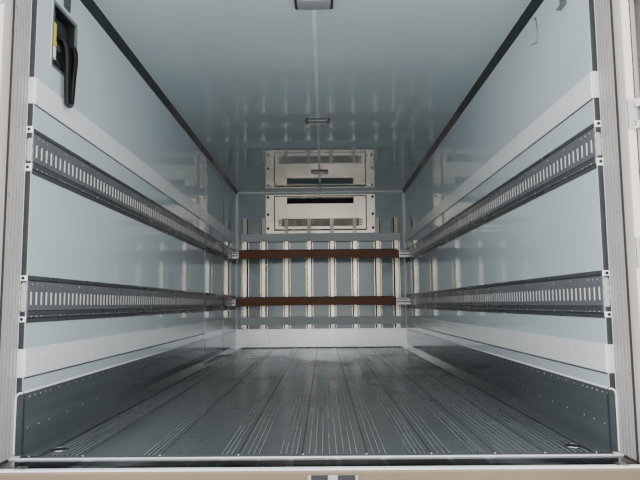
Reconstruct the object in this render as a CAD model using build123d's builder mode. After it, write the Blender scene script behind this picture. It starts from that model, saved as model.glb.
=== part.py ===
"""Insulated body of a refrigerated truck, with its doors, floor, lashing rails and cooling unit.

The body stands on its long sills. X runs to the body's right, Y forward to the cab and Z up.
All sizes are in millimetres.
"""

import os
from math import pi, radians, sin, tan

from build123d import *

os.makedirs("parts", exist_ok=True)

# Load space between the panels
INNER_W = 2320.0
INNER_L = 6010.0
INNER_H = 2140.0

# Insulated panels and floor
WALL_T = 85.0
ROOF_T = 85.0
FRONT_T = 85.0
SLAB_T = 80.0
PLANK_T = 25.0
PLANK_GROOVE_W = 3.0
PLANK_GROOVE_H = 4.0
RIB_W = 3.0
RIB_H = 3.0
# Joints of the planks as shares of half the inner width, each with the ribs beside it
PLANK_JOINTS = {
    -0.792: (-135.0, -117.0, -98.0, -79.0, -60.0, -41.0, -22.0),
    -0.526: (-61.0, -43.0, -24.0),
    -0.263: (-62.0, -43.0, -24.0, 16.0, 40.0, 62.0, 84.0),
    -0.046: (-84.0, -62.0, -41.0, -21.0, 28.0, 54.0, 81.0, 108.0, 136.0, 164.0, 192.0, 216.0),
    0.174: (24.0, 50.0, 72.0),
    0.390: (-84.0, -62.0, -43.0, -26.0, 26.0, 50.0, 71.0),
    0.607: (-88.0, -64.0, -48.0, 26.0, 50.0, 74.0, 98.0, 122.0, 146.0, 166.0),
    0.775: (27.0, 50.0, 73.0, 96.0, 119.0, 142.0, 165.0),
}

# Under-frame
SILL_H = 150.0
SILL_FLANGE = 70.0
SILL_GAUGE = 8.0
SILL_SPACING = 850.0
CROSS_H = 75.0
CROSS_FLANGE = 45.0
CROSS_GAUGE = 5.0
CROSS_COUNT = 14
CROSS_END = 175.0
SHEAR_HOLE_R = 9.0
SHEAR_PITCH_Y = 200.0
SHEAR_PITCH_Z = 70.0
SHEAR_PLACES = (-2200.0, 0.0, 2200.0)

# Edge extrusions
EDGE_W = 40.0
LIP = 3.0
EDGE_DROP = 60.0
EDGE_R = 28.0
SKIRT_H = 60.0
SKIRT_FLANGE = 25.0
SKIRT_GAUGE = 4.0

# Rear frame
FRAME_D = 205.0
JAMB_D = 135.0
JAMB_STEP = 27.0
JAMB_T = 8.0
JAMB_RIB_H = 4.0
JAMB_RIBS = 5
POST_R = 14.0
POST_STEP_W = 21.0
POST_STEP = 4.0
SILL_DROP = 8.0
SILL_RIB_Y = 38.0
SILL_RIB_W = 10.0
SILL_RIB_H = 6.0
SILL_NOSE = 12.0

# Hinges, shared by the rear doors and the side door
PIN_R = 7.0
BARREL_R = 15.0
BORE_CLEAR = 0.3
PIN_OUT = 17.0
PIN_BACK = 43.0
HINGE_H = 115.0
KNUCKLE_H = 30.0
KNUCKLE_GAP = 3.0
BASE_T = 6.0
BASE_WEB = 26.0
STRAP_T = 8.0
STRAP_L = 230.0
STRAP_ARM_T = 10.0

# Rear doors
DOOR_GAP = 10.0
DOOR_SKIN_D = 60.0
PLUG_STEP = 20.0
PLUG_STRAIGHT = 35.0
PLUG_TAPERED = 45.0
PLUG_DRAFT = 8.0
SEAL_CLEAR = 6.0
SEAL_D = 26.0
ASTRAGAL_LAP = 22.0
ASTRAGAL_BASE = 28.0
ASTRAGAL_T = 4.0
ASTRAGAL_CLEAR = 5.0
REAR_HINGE_Z = (234.0, 761.0, 1288.0, 1815.0)

# Lock gear on the right-hand rear door
ROD_X = 65.0
ROD_R = 13.5
ROD_STAND = 30.0
ROD_GUIDE_Z = (180.0, 1000.0, 1960.0)
GUIDE_W = 60.0
GUIDE_H = 34.0
CAM_W = 124.0
CAM_D = 24.0
CAM_H = 18.0
CLAW_W = 32.0
CLAW_D = 16.0
CLAW_H = 28.0
KEEPER_W = 180.0
KEEPER_H = 30.0
KEEPER_T = 6.0
KEEPER_RIB = 5.0
KEEPER_CENTRE_W = 32.0
KEEPER_END_W = 10.0
KEEPER_DROP = 4.0
HANDLE_Z = 850.0
HANDLE_L = 320.0
HANDLE_H = 30.0
HANDLE_T = 14.0

# Side door in the left wall
SIDE_Y = 3760.0
SIDE_W = 1150.0
SIDE_HEAD = 80.0
SIDE_GAP = 6.0
SIDE_DRAFT = 6.0
SIDE_HINGE_END = 250.0
SIDE_FIT_INSET = 35.0
SIDE_HANDLE_Z = 760.0

# Kick plates
KICK_H = 240.0
KICK_T = 4.0
KICK_LEG = 75.0
FRONT_KICK_H = 252.0
FRONT_KICK_T = 10.0

# Lashing rails: centre height above the floor, nearly flush with the wall over a hollow
RAIL_Z = {"lower": 613.0, "upper": 1222.0}
RAIL_H = 192.0
RAIL_FACE_H = 146.0
RAIL_D = 6.0
RAIL_EDGE = 2.0
RAIL_STEP = 4.0
RAIL_HOLLOW_H = 84.0
RAIL_HOLLOW_D = 30.0
RAIL_HOLLOW_END = 12.0
SLOT_PITCH = 47.1
SLOT_FIRST = 25.0
SLOT_W = 20.0
SLOT_H = 58.0
SLOT_UP = 3.0
RAIL_END = 18.0

# Bumper bands: one under the lower rail and one over the upper rail
BAND_UNDER = 101.0
BAND_OVER = 103.0
BAND_H = 116.0
BAND_EDGE_IN = 5.0
BAND_D = 6.0
BAND_Z = {
    "lower": RAIL_Z["lower"] - RAIL_H / 2 - BAND_UNDER - BAND_H / 2,
    "upper": RAIL_Z["upper"] + RAIL_H / 2 + BAND_OVER + BAND_H / 2,
}

# Load bars held in the rails
BAR_SLOT = 117
BAR_T = 30.0
BAR_H = 108.0
BAR_BOW = 14.0
BAR_SPAN = {"lower": (-1098.0, 968.0), "upper": (-1060.0, 1014.0)}
TONGUE_H = 40.0
TONGUE_T = 14.0
TONGUE_IN = 14.0
SHOE_H = 84.0
SHOE_T = 22.0
SHOE_GAP = 4.0

# Rack of hat-section ribs on the front wall
RIB_X = (156.0, 467.0, 779.0, 1033.0)
HAT_W = 48.0
HAT_FOOT = 26.0
HAT_D = 62.0
HAT_GAUGE = 3.0
HAT_Z = (256.0, 1758.0)
HAT_CUT_Z = 1540.0
HAT_SHORT_D = 14.0
FLAT_Z = (310.0, 1436.0)
FLAT_H = 106.0
FLAT_T = 8.0
FLAT_HALF = 1085.0

# Evaporator in the front wall
EVAP_COVER_W = 1246.0
EVAP_COVER_Z = (1609.0, 2060.0)
EVAP_COVER_D = 42.0
EVAP_FLANGE_T = 6.0
EVAP_FLANGE_SIDE = 130.0
EVAP_FLANGE_LOW = 53.0
EVAP_FLANGE_HIGH = 32.0
EVAP_LAP = 23.0
OUTLET_SIDE = 163.0
OUTLET_TOP = 8.0
OUTLET_H = 91.0
RETURN_SIDE = 48.0
RETURN_FOOT = 38.0
RETURN_H = 108.0
LOUVRE_COUNT = 5
LOUVRE_T = 8.0
LOUVRE_W = 130.0

# Condensing unit outside the front wall
COND_W = 1760.0
COND_D = 420.0
COND_Z = (1430.0, 2110.0)
COND_TOP_R = 150.0
COND_LOW_R = 60.0
COND_SIDE_R = 35.0
FAN_X = 430.0
FAN_WELL_R = 205.0
FAN_WELL_D = 150.0
FAN_R = 188.0
FAN_HUB_R = 62.0
FAN_HUB_L = 60.0
FAN_BLADES = 6
FAN_BLADE_T = 5.0
FAN_BLADE_W = 100.0
FAN_PITCH = 28.0
FAN_GAP = 10.0
AXLE_R = 14.0
AXLE_IN = 25.0
GUARD_T = 6.0
GUARD_RIM = 14.0
GUARD_BARS = 9
GUARD_BAR_W = 8.0

# Ceiling
LAMP_Y = (565.0, 2650.0)
LAMP_W = 200.0
LAMP_L = 126.0
LAMP_T = 14.0
LAMP_FRAME = 10.0
COVE_H = 50.0
COVE_W = 34.0
STRIP_W = 27.0
STRIP_T = 3.0
TRIM_LEG = 37.0
TRIM_T = 3.0

# Floor drains
DRAIN_IN = 110.0
DRAIN_Y = 105.0
DRAIN_BORE_R = 16.0
DRAIN_TAIL_R = 20.0
DRAIN_SLEEVE_R = 24.0
DRAIN_RIM_R = 28.0
DRAIN_TAIL = 45.0

# Service box in the left wall
BOX_Y = 150.0
BOX_W = 250.0
BOX_H = 288.0
BOX_RISE = 115.0
BOX_D = 60.0
BOX_T = 3.0
BOX_RIM = 12.0
CONDUIT_D = 28.0
CONDUIT_SIDES = 10
GLAND_R = 19.0
GLAND_L = 12.0

# Levels and stations worked out from the sizes above
X_IN = INNER_W / 2
X_OUT = X_IN + WALL_T
X_PANEL = X_OUT - EDGE_W
X_JAMB = X_IN + JAMB_STEP
X_POST = X_JAMB + JAMB_T
Z_SLAB = SILL_H + CROSS_H
Z_SKIRT = Z_SLAB - SKIRT_H
Z_PLANK = Z_SLAB + SLAB_T
Z_FLOOR = Z_PLANK + PLANK_T
Z_CEIL = Z_FLOOR + INNER_H
SIDE_H = INNER_H - SIDE_HEAD
SIDE_HINGE_Z = (SIDE_HINGE_END, SIDE_H / 2, SIDE_H - SIDE_HINGE_END)
Z_TOP = Z_CEIL + ROOF_T
Z_HEAD = Z_CEIL + JAMB_STEP + JAMB_T
REACH_TAIL = FRAME_D + PIN_BACK + BARREL_R
REACH_NOSE = INNER_L + FRONT_T + COND_D + GUARD_T
Y_WALLS = (REACH_TAIL - REACH_NOSE) / 2
Y_FRAME = Y_WALLS - FRAME_D
Y_BULK = Y_WALLS + INNER_L
Y_NOSE = Y_BULK + FRONT_T
X_PIN = X_OUT + PIN_OUT
Y_PIN = Y_FRAME - PIN_BACK
Y_SIDE = (Y_WALLS + SIDE_Y, Y_WALLS + SIDE_Y + SIDE_W)
BASE_W = X_OUT - X_POST
EVAP_HALF = EVAP_COVER_W / 2
EVAP_FOOT = Z_FLOOR + EVAP_COVER_Z[0]
EVAP_HEAD = Z_FLOOR + EVAP_COVER_Z[1]
HOLE_X = (-EVAP_HALF + EVAP_LAP, EVAP_HALF - EVAP_LAP)
HOLE_Z = (EVAP_FOOT + EVAP_LAP, EVAP_HEAD - EVAP_LAP)
DRAIN_X = X_IN - DRAIN_IN
BOX_Y_ROW = (Y_WALLS + BOX_Y, Y_WALLS + BOX_Y + BOX_W)
BOX_FOOT = Z_FLOOR + BAND_Z["upper"] + BAND_H / 2 + BOX_RISE
BOX_Z_ROW = (BOX_FOOT, BOX_FOOT + BOX_H)
LEAF_EDGE = PIN_OUT + BASE_W + DOOR_GAP
Z_LEAF = (Z_FLOOR, Z_HEAD - DOOR_GAP)


def save(piece, node):
    """Label a finished piece and write it as one node."""
    piece.part.label = node
    export_step(piece.part, f"parts/{node}.step")


def save_pair(piece, stem):
    """Write a piece of the right-hand side and its mirror image on the left."""
    save(piece, f"{stem}_right")
    with BuildPart() as other:
        add(mirror(piece.part, about=Plane.YZ, mode=Mode.PRIVATE))
    save(other, f"{stem}_left")


def save_both(piece, node):
    """Write a piece of the right-hand side and its mirror image as one node."""
    with BuildPart() as both:
        add(piece.part)
        add(mirror(piece.part, about=Plane.YZ, mode=Mode.PRIVATE))
    save(both, node)


def block(x, y, z, mode=Mode.ADD):
    """Add or cut a box given by its low and high value along each axis."""
    centre = [(low + high) / 2 for low, high in (x, y, z)]
    size = [high - low for low, high in (x, y, z)]
    with Locations(tuple(centre)):
        Box(*size, mode=mode)


def square_to_y(y):
    """Plane square to the body's length at station y, with X across and Z up."""
    return Plane.XZ.offset(-y)


def run_y(points, y0, y1):
    """Extrude an outline of X and Z points from station y0 to y1."""
    with BuildSketch(square_to_y(y0)) as outline:
        with BuildLine():
            Polyline(*points, close=True)
        make_face()
    extrude(outline.sketch, amount=-(y1 - y0))


def run_x(points, x0, x1):
    """Extrude an outline of Y and Z points from x0 to x1."""
    with BuildSketch(Plane.YZ.offset(x0)) as outline:
        with BuildLine():
            Polyline(*points, close=True)
        make_face()
    extrude(outline.sketch, amount=x1 - x0)


def run_z(points, z0, z1):
    """Extrude an outline of X and Y points from height z0 to z1."""
    with BuildSketch(Plane.XY.offset(z0)) as outline:
        with BuildLine():
            Polyline(*points, close=True)
        make_face()
    extrude(outline.sketch, amount=z1 - z0)


# Long sills: channels that lie on the truck's chassis, drilled for shear plates
with BuildPart() as long_sill:
    inner = SILL_SPACING / 2 - SILL_FLANGE / 2
    outer = SILL_SPACING / 2 + SILL_FLANGE / 2
    web = inner + SILL_GAUGE
    run_y(
        [(inner, 0), (outer, 0), (outer, SILL_GAUGE), (web, SILL_GAUGE),
         (web, SILL_H - SILL_GAUGE), (outer, SILL_H - SILL_GAUGE), (outer, SILL_H), (inner, SILL_H)],
        Y_FRAME + SILL_NOSE, Y_NOSE)
    with BuildSketch(Plane.YZ.offset(inner)):
        for place in SHEAR_PLACES:
            with Locations((place, SILL_H / 2)):
                with GridLocations(SHEAR_PITCH_Y, SHEAR_PITCH_Z, 2, 2):
                    Circle(SHEAR_HOLE_R)
    extrude(amount=SILL_GAUGE, mode=Mode.SUBTRACT)
save_pair(long_sill, "long_sill")

# Cross members: a row of channels under the floor slab
with BuildPart() as cross_members:
    first = Y_WALLS + CROSS_END
    step = (Y_BULK - CROSS_END - first) / (CROSS_COUNT - 1)
    for index in range(CROSS_COUNT):
        back = first + index * step - CROSS_FLANGE / 2
        front = back + CROSS_FLANGE
        run_x(
            [(back, SILL_H), (front, SILL_H), (front, SILL_H + CROSS_GAUGE),
             (back + CROSS_GAUGE, SILL_H + CROSS_GAUGE), (back + CROSS_GAUGE, Z_SLAB - CROSS_GAUGE),
             (front, Z_SLAB - CROSS_GAUGE), (front, Z_SLAB), (back, Z_SLAB)],
            -X_IN, X_IN)
save(cross_members, "cross_members")

# Floor slab with its two drain holes
with BuildPart() as floor_slab:
    block((-X_IN, X_IN), (Y_WALLS, Y_BULK), (Z_SLAB, Z_PLANK))
    with BuildSketch(Plane.XY.offset(Z_SLAB)):
        with Locations((-DRAIN_X, Y_WALLS + DRAIN_Y), (DRAIN_X, Y_WALLS + DRAIN_Y)):
            Circle(DRAIN_SLEEVE_R)
    extrude(amount=SLAB_T, mode=Mode.SUBTRACT)
save(floor_slab, "floor_slab")

# Extruded floor planks with joint grooves and fine ribs
with BuildPart() as floor_planks:
    base = PLANK_T - RIB_H
    with BuildSketch(square_to_y(Y_WALLS)):
        with Locations((0, Z_PLANK + base / 2)):
            Rectangle(INNER_W, base)
        for share, rib_offsets in PLANK_JOINTS.items():
            with Locations([(share * X_IN + offset, Z_FLOOR - RIB_H / 2) for offset in rib_offsets]):
                Rectangle(RIB_W, RIB_H)
            with Locations((share * X_IN, Z_FLOOR - RIB_H - PLANK_GROOVE_H / 2)):
                Rectangle(PLANK_GROOVE_W, PLANK_GROOVE_H, mode=Mode.SUBTRACT)
    extrude(amount=-INNER_L)
    with BuildSketch(Plane.XY.offset(Z_PLANK)):
        with Locations((-DRAIN_X, Y_WALLS + DRAIN_Y), (DRAIN_X, Y_WALLS + DRAIN_Y)):
            Circle(DRAIN_RIM_R)
    extrude(amount=PLANK_T, mode=Mode.SUBTRACT)
save(floor_planks, "floor_planks")

# Drains: a rim in the planks and a tail for a hose under the slab
with BuildPart() as floor_drains:
    tail_end = Z_SLAB - DRAIN_TAIL
    steps = (
        (tail_end, Z_SLAB, DRAIN_TAIL_R, Mode.ADD),
        (Z_SLAB, Z_PLANK, DRAIN_SLEEVE_R, Mode.ADD),
        (Z_PLANK, Z_FLOOR - RIB_H, DRAIN_RIM_R, Mode.ADD),
        (tail_end, Z_FLOOR - RIB_H, DRAIN_BORE_R, Mode.SUBTRACT),
    )
    for low, high, radius, mode in steps:
        with BuildSketch(Plane.XY.offset(low)):
            with Locations((-DRAIN_X, Y_WALLS + DRAIN_Y), (DRAIN_X, Y_WALLS + DRAIN_Y)):
                Circle(radius)
        extrude(amount=high - low, mode=mode)
save(floor_drains, "floor_drains")

# Lengths of the fittings along each wall: the side doorway parts those on the left
WALL_RUNS = {
    "right": (1, [(Y_WALLS, Y_BULK - TRIM_LEG)]),
    "left": (-1, [(Y_WALLS, Y_SIDE[0]), (Y_SIDE[1], Y_BULK - TRIM_LEG)]),
}


def rail_hollows(side, y0, y1):
    """Cut the hollows behind both lashing rails of one wall."""
    near, far = y0 + RAIL_HOLLOW_END, y1 - RAIL_HOLLOW_END
    depth = sorted((side * X_IN, side * (X_IN + RAIL_HOLLOW_D)))
    for height in RAIL_Z.values():
        centre = Z_FLOOR + height + SLOT_UP
        levels = (centre - RAIL_HOLLOW_H / 2, centre + RAIL_HOLLOW_H / 2)
        block(depth, (near, far), levels, mode=Mode.SUBTRACT)


# Side walls: the left one has the side doorway and the pocket of the service box
with BuildPart() as side_wall_right:
    block((X_IN, X_OUT), (Y_WALLS, Y_BULK), (Z_SLAB, Z_CEIL))
    for run in WALL_RUNS["right"][1]:
        rail_hollows(1, *run)
save(side_wall_right, "side_wall_right")

with BuildPart() as side_wall_left:
    block((-X_OUT, -X_IN), (Y_WALLS, Y_BULK), (Z_SLAB, Z_CEIL))
    block((-X_OUT, -X_IN), Y_SIDE, (Z_FLOOR, Z_FLOOR + SIDE_H), mode=Mode.SUBTRACT)
    block((-X_IN - BOX_D, -X_IN), BOX_Y_ROW, BOX_Z_ROW, mode=Mode.SUBTRACT)
    for run in WALL_RUNS["left"][1]:
        rail_hollows(-1, *run)
save(side_wall_left, "side_wall_left")

# Front wall with the hole for the evaporator
with BuildPart() as front_wall:
    block((-X_PANEL, X_PANEL), (Y_BULK, Y_NOSE), (Z_SKIRT, Z_CEIL))
    block(HOLE_X, (Y_BULK, Y_NOSE), HOLE_Z, mode=Mode.SUBTRACT)
save(front_wall, "front_wall")

# Roof panel between the edge extrusions
with BuildPart() as roof_panel:
    block((-X_PANEL, X_PANEL), (Y_WALLS, Y_NOSE - EDGE_W), (Z_CEIL, Z_TOP))
save(roof_panel, "roof_panel")

# Rounded edge extrusions of the roof, the front corners and the skirt
with BuildPart() as roof_rail:
    run_y(
        [(X_PANEL, Z_CEIL), (X_OUT, Z_CEIL), (X_OUT, Z_CEIL - EDGE_DROP),
         (X_OUT + LIP, Z_CEIL - EDGE_DROP), (X_OUT + LIP, Z_TOP + LIP),
         (X_PANEL - EDGE_W, Z_TOP + LIP), (X_PANEL - EDGE_W, Z_TOP), (X_PANEL, Z_TOP)],
        Y_WALLS, Y_NOSE + LIP)
    top_edge = roof_rail.edges().filter_by(Axis.Y).group_by(Axis.Z)[-1].sort_by(Axis.X)[-1]
    fillet(top_edge, EDGE_R)
save_both(roof_rail, "roof_rails")

with BuildPart() as roof_rail_front:
    run_x(
        [(Y_NOSE - EDGE_W, Z_CEIL), (Y_NOSE, Z_CEIL), (Y_NOSE, Z_CEIL - EDGE_DROP / 2),
         (Y_NOSE + LIP, Z_CEIL - EDGE_DROP / 2), (Y_NOSE + LIP, Z_TOP + LIP),
         (Y_NOSE - EDGE_W, Z_TOP + LIP)],
        -X_PANEL, X_PANEL)
    nose_edge = roof_rail_front.edges().filter_by(Axis.X).group_by(Axis.Z)[-1].sort_by(Axis.Y)[-1]
    fillet(nose_edge, EDGE_R)
    block((-X_PANEL, -X_PANEL + EDGE_W), (Y_NOSE - EDGE_W, Y_NOSE + LIP), (Z_TOP, Z_TOP + LIP),
          mode=Mode.SUBTRACT)
    block((X_PANEL - EDGE_W, X_PANEL), (Y_NOSE - EDGE_W, Y_NOSE + LIP), (Z_TOP, Z_TOP + LIP),
          mode=Mode.SUBTRACT)
save(roof_rail_front, "roof_rail_front")

with BuildPart() as front_corner:
    run_z(
        [(X_PANEL, Y_BULK), (X_OUT, Y_BULK), (X_OUT, Y_BULK - EDGE_W), (X_OUT + LIP, Y_BULK - EDGE_W),
         (X_OUT + LIP, Y_NOSE + LIP), (X_PANEL - EDGE_W, Y_NOSE + LIP), (X_PANEL - EDGE_W, Y_NOSE),
         (X_PANEL, Y_NOSE)],
        Z_SKIRT, Z_CEIL - EDGE_DROP)
    corner_edge = front_corner.edges().filter_by(Axis.Z).group_by(Axis.Y)[-1].sort_by(Axis.X)[-1]
    fillet(corner_edge, EDGE_R)
    with BuildSketch(Plane.XY.offset(Z_CEIL - EDGE_DROP)) as head:
        with Locations(((X_PANEL + X_OUT) / 2, (Y_BULK + Y_NOSE) / 2)):
            Rectangle(X_OUT - X_PANEL, Y_NOSE - Y_BULK)
        fillet(head.vertices().group_by(Axis.Y)[-1].sort_by(Axis.X)[-1], EDGE_R - LIP)
    extrude(amount=EDGE_DROP)
save_both(front_corner, "front_corners")

with BuildPart() as bottom_rail:
    run_y(
        [(X_IN, Z_SLAB), (X_OUT, Z_SLAB), (X_OUT, Z_SLAB + EDGE_DROP), (X_OUT + LIP, Z_SLAB + EDGE_DROP),
         (X_OUT + LIP, Z_SKIRT), (X_OUT - SKIRT_FLANGE, Z_SKIRT),
         (X_OUT - SKIRT_FLANGE, Z_SKIRT + SKIRT_GAUGE), (X_OUT - LIP, Z_SKIRT + SKIRT_GAUGE),
         (X_OUT - LIP, Z_SLAB - SKIRT_GAUGE), (X_IN, Z_SLAB - SKIRT_GAUGE)],
        Y_WALLS, Y_BULK - EDGE_W)
save_both(bottom_rail, "bottom_rails")

# Rear posts: polished steel over foam, with a step down the rear face
with BuildPart() as rear_post:
    run_z(
        [(X_POST, Y_WALLS), (X_POST, Y_FRAME), (X_OUT - POST_STEP_W, Y_FRAME),
         (X_OUT - POST_STEP_W, Y_FRAME + POST_STEP), (X_OUT, Y_FRAME + POST_STEP), (X_OUT, Y_WALLS)],
        Z_SKIRT, Z_HEAD)
    post_edge = rear_post.edges().filter_by(Axis.Z).group_by(Axis.X)[-1].sort_by(Axis.Y)[0]
    fillet(post_edge, POST_R)
save_pair(rear_post, "rear_post")

# Header over the rear doors
with BuildPart() as rear_header:
    run_x([(Y_FRAME, Z_HEAD), (Y_WALLS, Z_HEAD), (Y_WALLS, Z_TOP + LIP), (Y_FRAME, Z_TOP + LIP)],
          -X_OUT, X_OUT)
    header_edge = rear_header.edges().filter_by(Axis.X).group_by(Axis.Z)[-1].sort_by(Axis.Y)[0]
    fillet(header_edge, POST_R)
save(rear_header, "rear_header")

# Threshold between the posts, with a raised rib and a rounded nose
with BuildPart() as rear_sill:
    tread = Z_FLOOR - SILL_DROP
    rib_back = Y_WALLS - SILL_RIB_Y
    run_x(
        [(Y_WALLS, Z_SKIRT), (Y_WALLS, tread), (rib_back + SILL_RIB_W, tread),
         (rib_back + SILL_RIB_W, tread + SILL_RIB_H), (rib_back, tread + SILL_RIB_H), (rib_back, tread),
         (Y_WALLS - JAMB_D, tread), (Y_WALLS - JAMB_D - SILL_NOSE, tread + SILL_RIB_H / 2),
         (Y_FRAME, tread), (Y_FRAME, Z_SKIRT)],
        -X_POST, X_POST)
    nose = rear_sill.edges().filter_by(Axis.X).group_by(Axis.Y)[0].sort_by(Axis.Z)[-1]
    fillet(nose, SILL_NOSE)
save(rear_sill, "rear_sill")

# Ribbed plastic lining of the reveal, round both sides and the top
with BuildPart() as jamb_frame:
    back = Y_WALLS - JAMB_D
    rib_pitch = JAMB_D / JAMB_RIBS
    block((-X_POST, X_POST), (back, Y_WALLS), (Z_HEAD - JAMB_RIB_H, Z_HEAD))
    for side in (-1, 1):
        faces = sorted((side * X_POST, side * (X_POST - JAMB_RIB_H)))
        block(faces, (back, Y_WALLS), (Z_FLOOR - SILL_DROP + SILL_RIB_H, Z_HEAD))
    for index in range(JAMB_RIBS):
        rib = (back + index * rib_pitch, back + (index + 0.7) * rib_pitch)
        block((-X_POST, X_POST), rib, (Z_HEAD - JAMB_T, Z_HEAD))
        for side in (-1, 1):
            faces = sorted((side * X_POST, side * (X_POST - JAMB_T)))
            block(faces, rib, (Z_FLOOR - SILL_DROP + SILL_RIB_H, Z_HEAD))
save(jamb_frame, "jamb_frame")

# Kick plates: an upright sheet with a leg on the floor, stopped at the side doorway
KICK_RUNS = {
    "kick_plate_right": (1, [(Y_WALLS, Y_BULK - FRONT_KICK_T)]),
    "kick_plate_left": (-1, [(Y_WALLS, Y_SIDE[0]), (Y_SIDE[1], Y_BULK - FRONT_KICK_T)]),
}
for node, (side, runs) in KICK_RUNS.items():
    with BuildPart() as kick_plate:
        for y0, y1 in runs:
            run_y(
                [(side * X_IN, Z_FLOOR), (side * X_IN, Z_FLOOR + KICK_H),
                 (side * (X_IN - KICK_T), Z_FLOOR + KICK_H), (side * (X_IN - KICK_T), Z_FLOOR + KICK_T),
                 (side * (X_IN - KICK_LEG), Z_FLOOR + KICK_T), (side * (X_IN - KICK_LEG), Z_FLOOR)],
                y0, y1)
    save(kick_plate, node)

with BuildPart() as kick_plate_front:
    block((-X_IN, X_IN), (Y_BULK - FRONT_KICK_T, Y_BULK), (Z_FLOOR, Z_FLOOR + FRONT_KICK_H))
save(kick_plate_front, "kick_plate_front")


def band_outline(side, height, wall):
    """Trapezoid of a bumper band on the face at distance wall from the centre."""
    centre = Z_FLOOR + height
    foot = BAND_H / 2
    face = foot - BAND_EDGE_IN
    return [(side * wall, centre - foot), (side * wall, centre + foot),
            (side * (wall - BAND_D), centre + face), (side * (wall - BAND_D), centre - face)]


def rail_outline(side, height, wall):
    """Stepped plate of a lashing rail on the face at distance wall from the centre."""
    centre = Z_FLOOR + height
    outer, face = RAIL_H / 2, RAIL_FACE_H / 2
    edge = wall - RAIL_EDGE
    upper = [(wall, outer), (edge, outer), (edge, face + RAIL_STEP), (wall - RAIL_D, face)]
    lower = [(x, -z) for x, z in reversed(upper)]
    return [(side * x, centre + z) for x, z in upper + lower]


def slot_rows(y0, y1):
    """Stations of the slots that fit between y0 and y1, on one pitch for the whole body."""
    count = int(INNER_L / SLOT_PITCH)
    rows = [Y_WALLS + SLOT_FIRST + index * SLOT_PITCH for index in range(count)]
    margin = SLOT_W / 2 + RAIL_END / 2
    return [row for row in rows if y0 + margin <= row <= y1 - margin]


def cut_slots(side, height, wall, y0, y1):
    """Cut the upright slots of one length of lashing rail."""
    with BuildSketch(Plane.YZ.offset(side * wall)) as slots:
        with Locations(*[(row, Z_FLOOR + height + SLOT_UP) for row in slot_rows(y0, y1)]):
            Rectangle(SLOT_W, SLOT_H)
    extrude(slots.sketch, amount=-side * 2 * RAIL_D, mode=Mode.SUBTRACT)


# Bumper bands and slotted lashing rails, in two lengths each on the left wall
for hand, (side, runs) in WALL_RUNS.items():
    with BuildPart() as bumper_bands:
        for height in BAND_Z.values():
            for y0, y1 in runs:
                run_y(band_outline(side, height, X_IN), y0, y1)
    save(bumper_bands, f"bumper_bands_{hand}")
    with BuildPart() as lashing_rails:
        for height in RAIL_Z.values():
            for y0, y1 in runs:
                run_y(rail_outline(side, height, X_IN), y0, y1)
                cut_slots(side, height, X_IN, y0, y1)
    save(lashing_rails, f"lashing_rails_{hand}")

# Rack on the front wall: hat-section ribs tied by two flat bars
with BuildPart() as rack_ribs:
    for side in (-1, 1):
        for rib_x in RIB_X:
            centre = side * rib_x
            half = HAT_W / 2
            front = Y_BULK - HAT_D
            foot = Y_BULK - HAT_GAUGE
            foot_x = half + HAT_FOOT
            run_z(
                [(centre - foot_x, Y_BULK), (centre - foot_x, foot), (centre - half, foot),
                 (centre - half, front), (centre + half, front), (centre + half, foot),
                 (centre + foot_x, foot), (centre + foot_x, Y_BULK),
                 (centre + half - HAT_GAUGE, Y_BULK), (centre + half - HAT_GAUGE, front + HAT_GAUGE),
                 (centre - half + HAT_GAUGE, front + HAT_GAUGE), (centre - half + HAT_GAUGE, Y_BULK)],
                Z_FLOOR + HAT_Z[0], Z_FLOOR + HAT_CUT_Z)
            run_z(
                [(centre - half, front + HAT_SHORT_D), (centre - half, front), (centre + half, front),
                 (centre + half, front + HAT_SHORT_D), (centre + half - HAT_GAUGE, front + HAT_SHORT_D),
                 (centre + half - HAT_GAUGE, front + HAT_GAUGE),
                 (centre - half + HAT_GAUGE, front + HAT_GAUGE),
                 (centre - half + HAT_GAUGE, front + HAT_SHORT_D)],
                Z_FLOOR + HAT_CUT_Z, Z_FLOOR + HAT_Z[1])
save(rack_ribs, "rack_ribs")

with BuildPart() as rack_flats:
    for flat_z in FLAT_Z:
        block((-FLAT_HALF, FLAT_HALF), (Y_BULK - HAT_D - FLAT_T, Y_BULK - HAT_D),
              (Z_FLOOR + flat_z, Z_FLOOR + flat_z + FLAT_H))
save(rack_flats, "rack_flats")

# Wooden load bars, bowed a little, with steel ends that reach into the rail slots
BAR_Y = Y_WALLS + SLOT_FIRST + BAR_SLOT * SLOT_PITCH
with BuildPart() as load_bars:
    for level, (bar_left, bar_right) in BAR_SPAN.items():
        foot = Z_FLOOR + RAIL_Z[level] - BAR_H / 2
        middle = (bar_left + bar_right) / 2
        with BuildSketch(square_to_y(BAR_Y - BAR_T / 2)):
            with BuildLine():
                ThreePointArc((bar_left, foot + BAR_H), (middle, foot + BAR_H + BAR_BOW),
                              (bar_right, foot + BAR_H))
                Line((bar_right, foot + BAR_H), (bar_right, foot))
                ThreePointArc((bar_right, foot), (middle, foot + BAR_BOW), (bar_left, foot))
                Line((bar_left, foot), (bar_left, foot + BAR_H))
            make_face()
        extrude(amount=-BAR_T)
save(load_bars, "load_bars")

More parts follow.
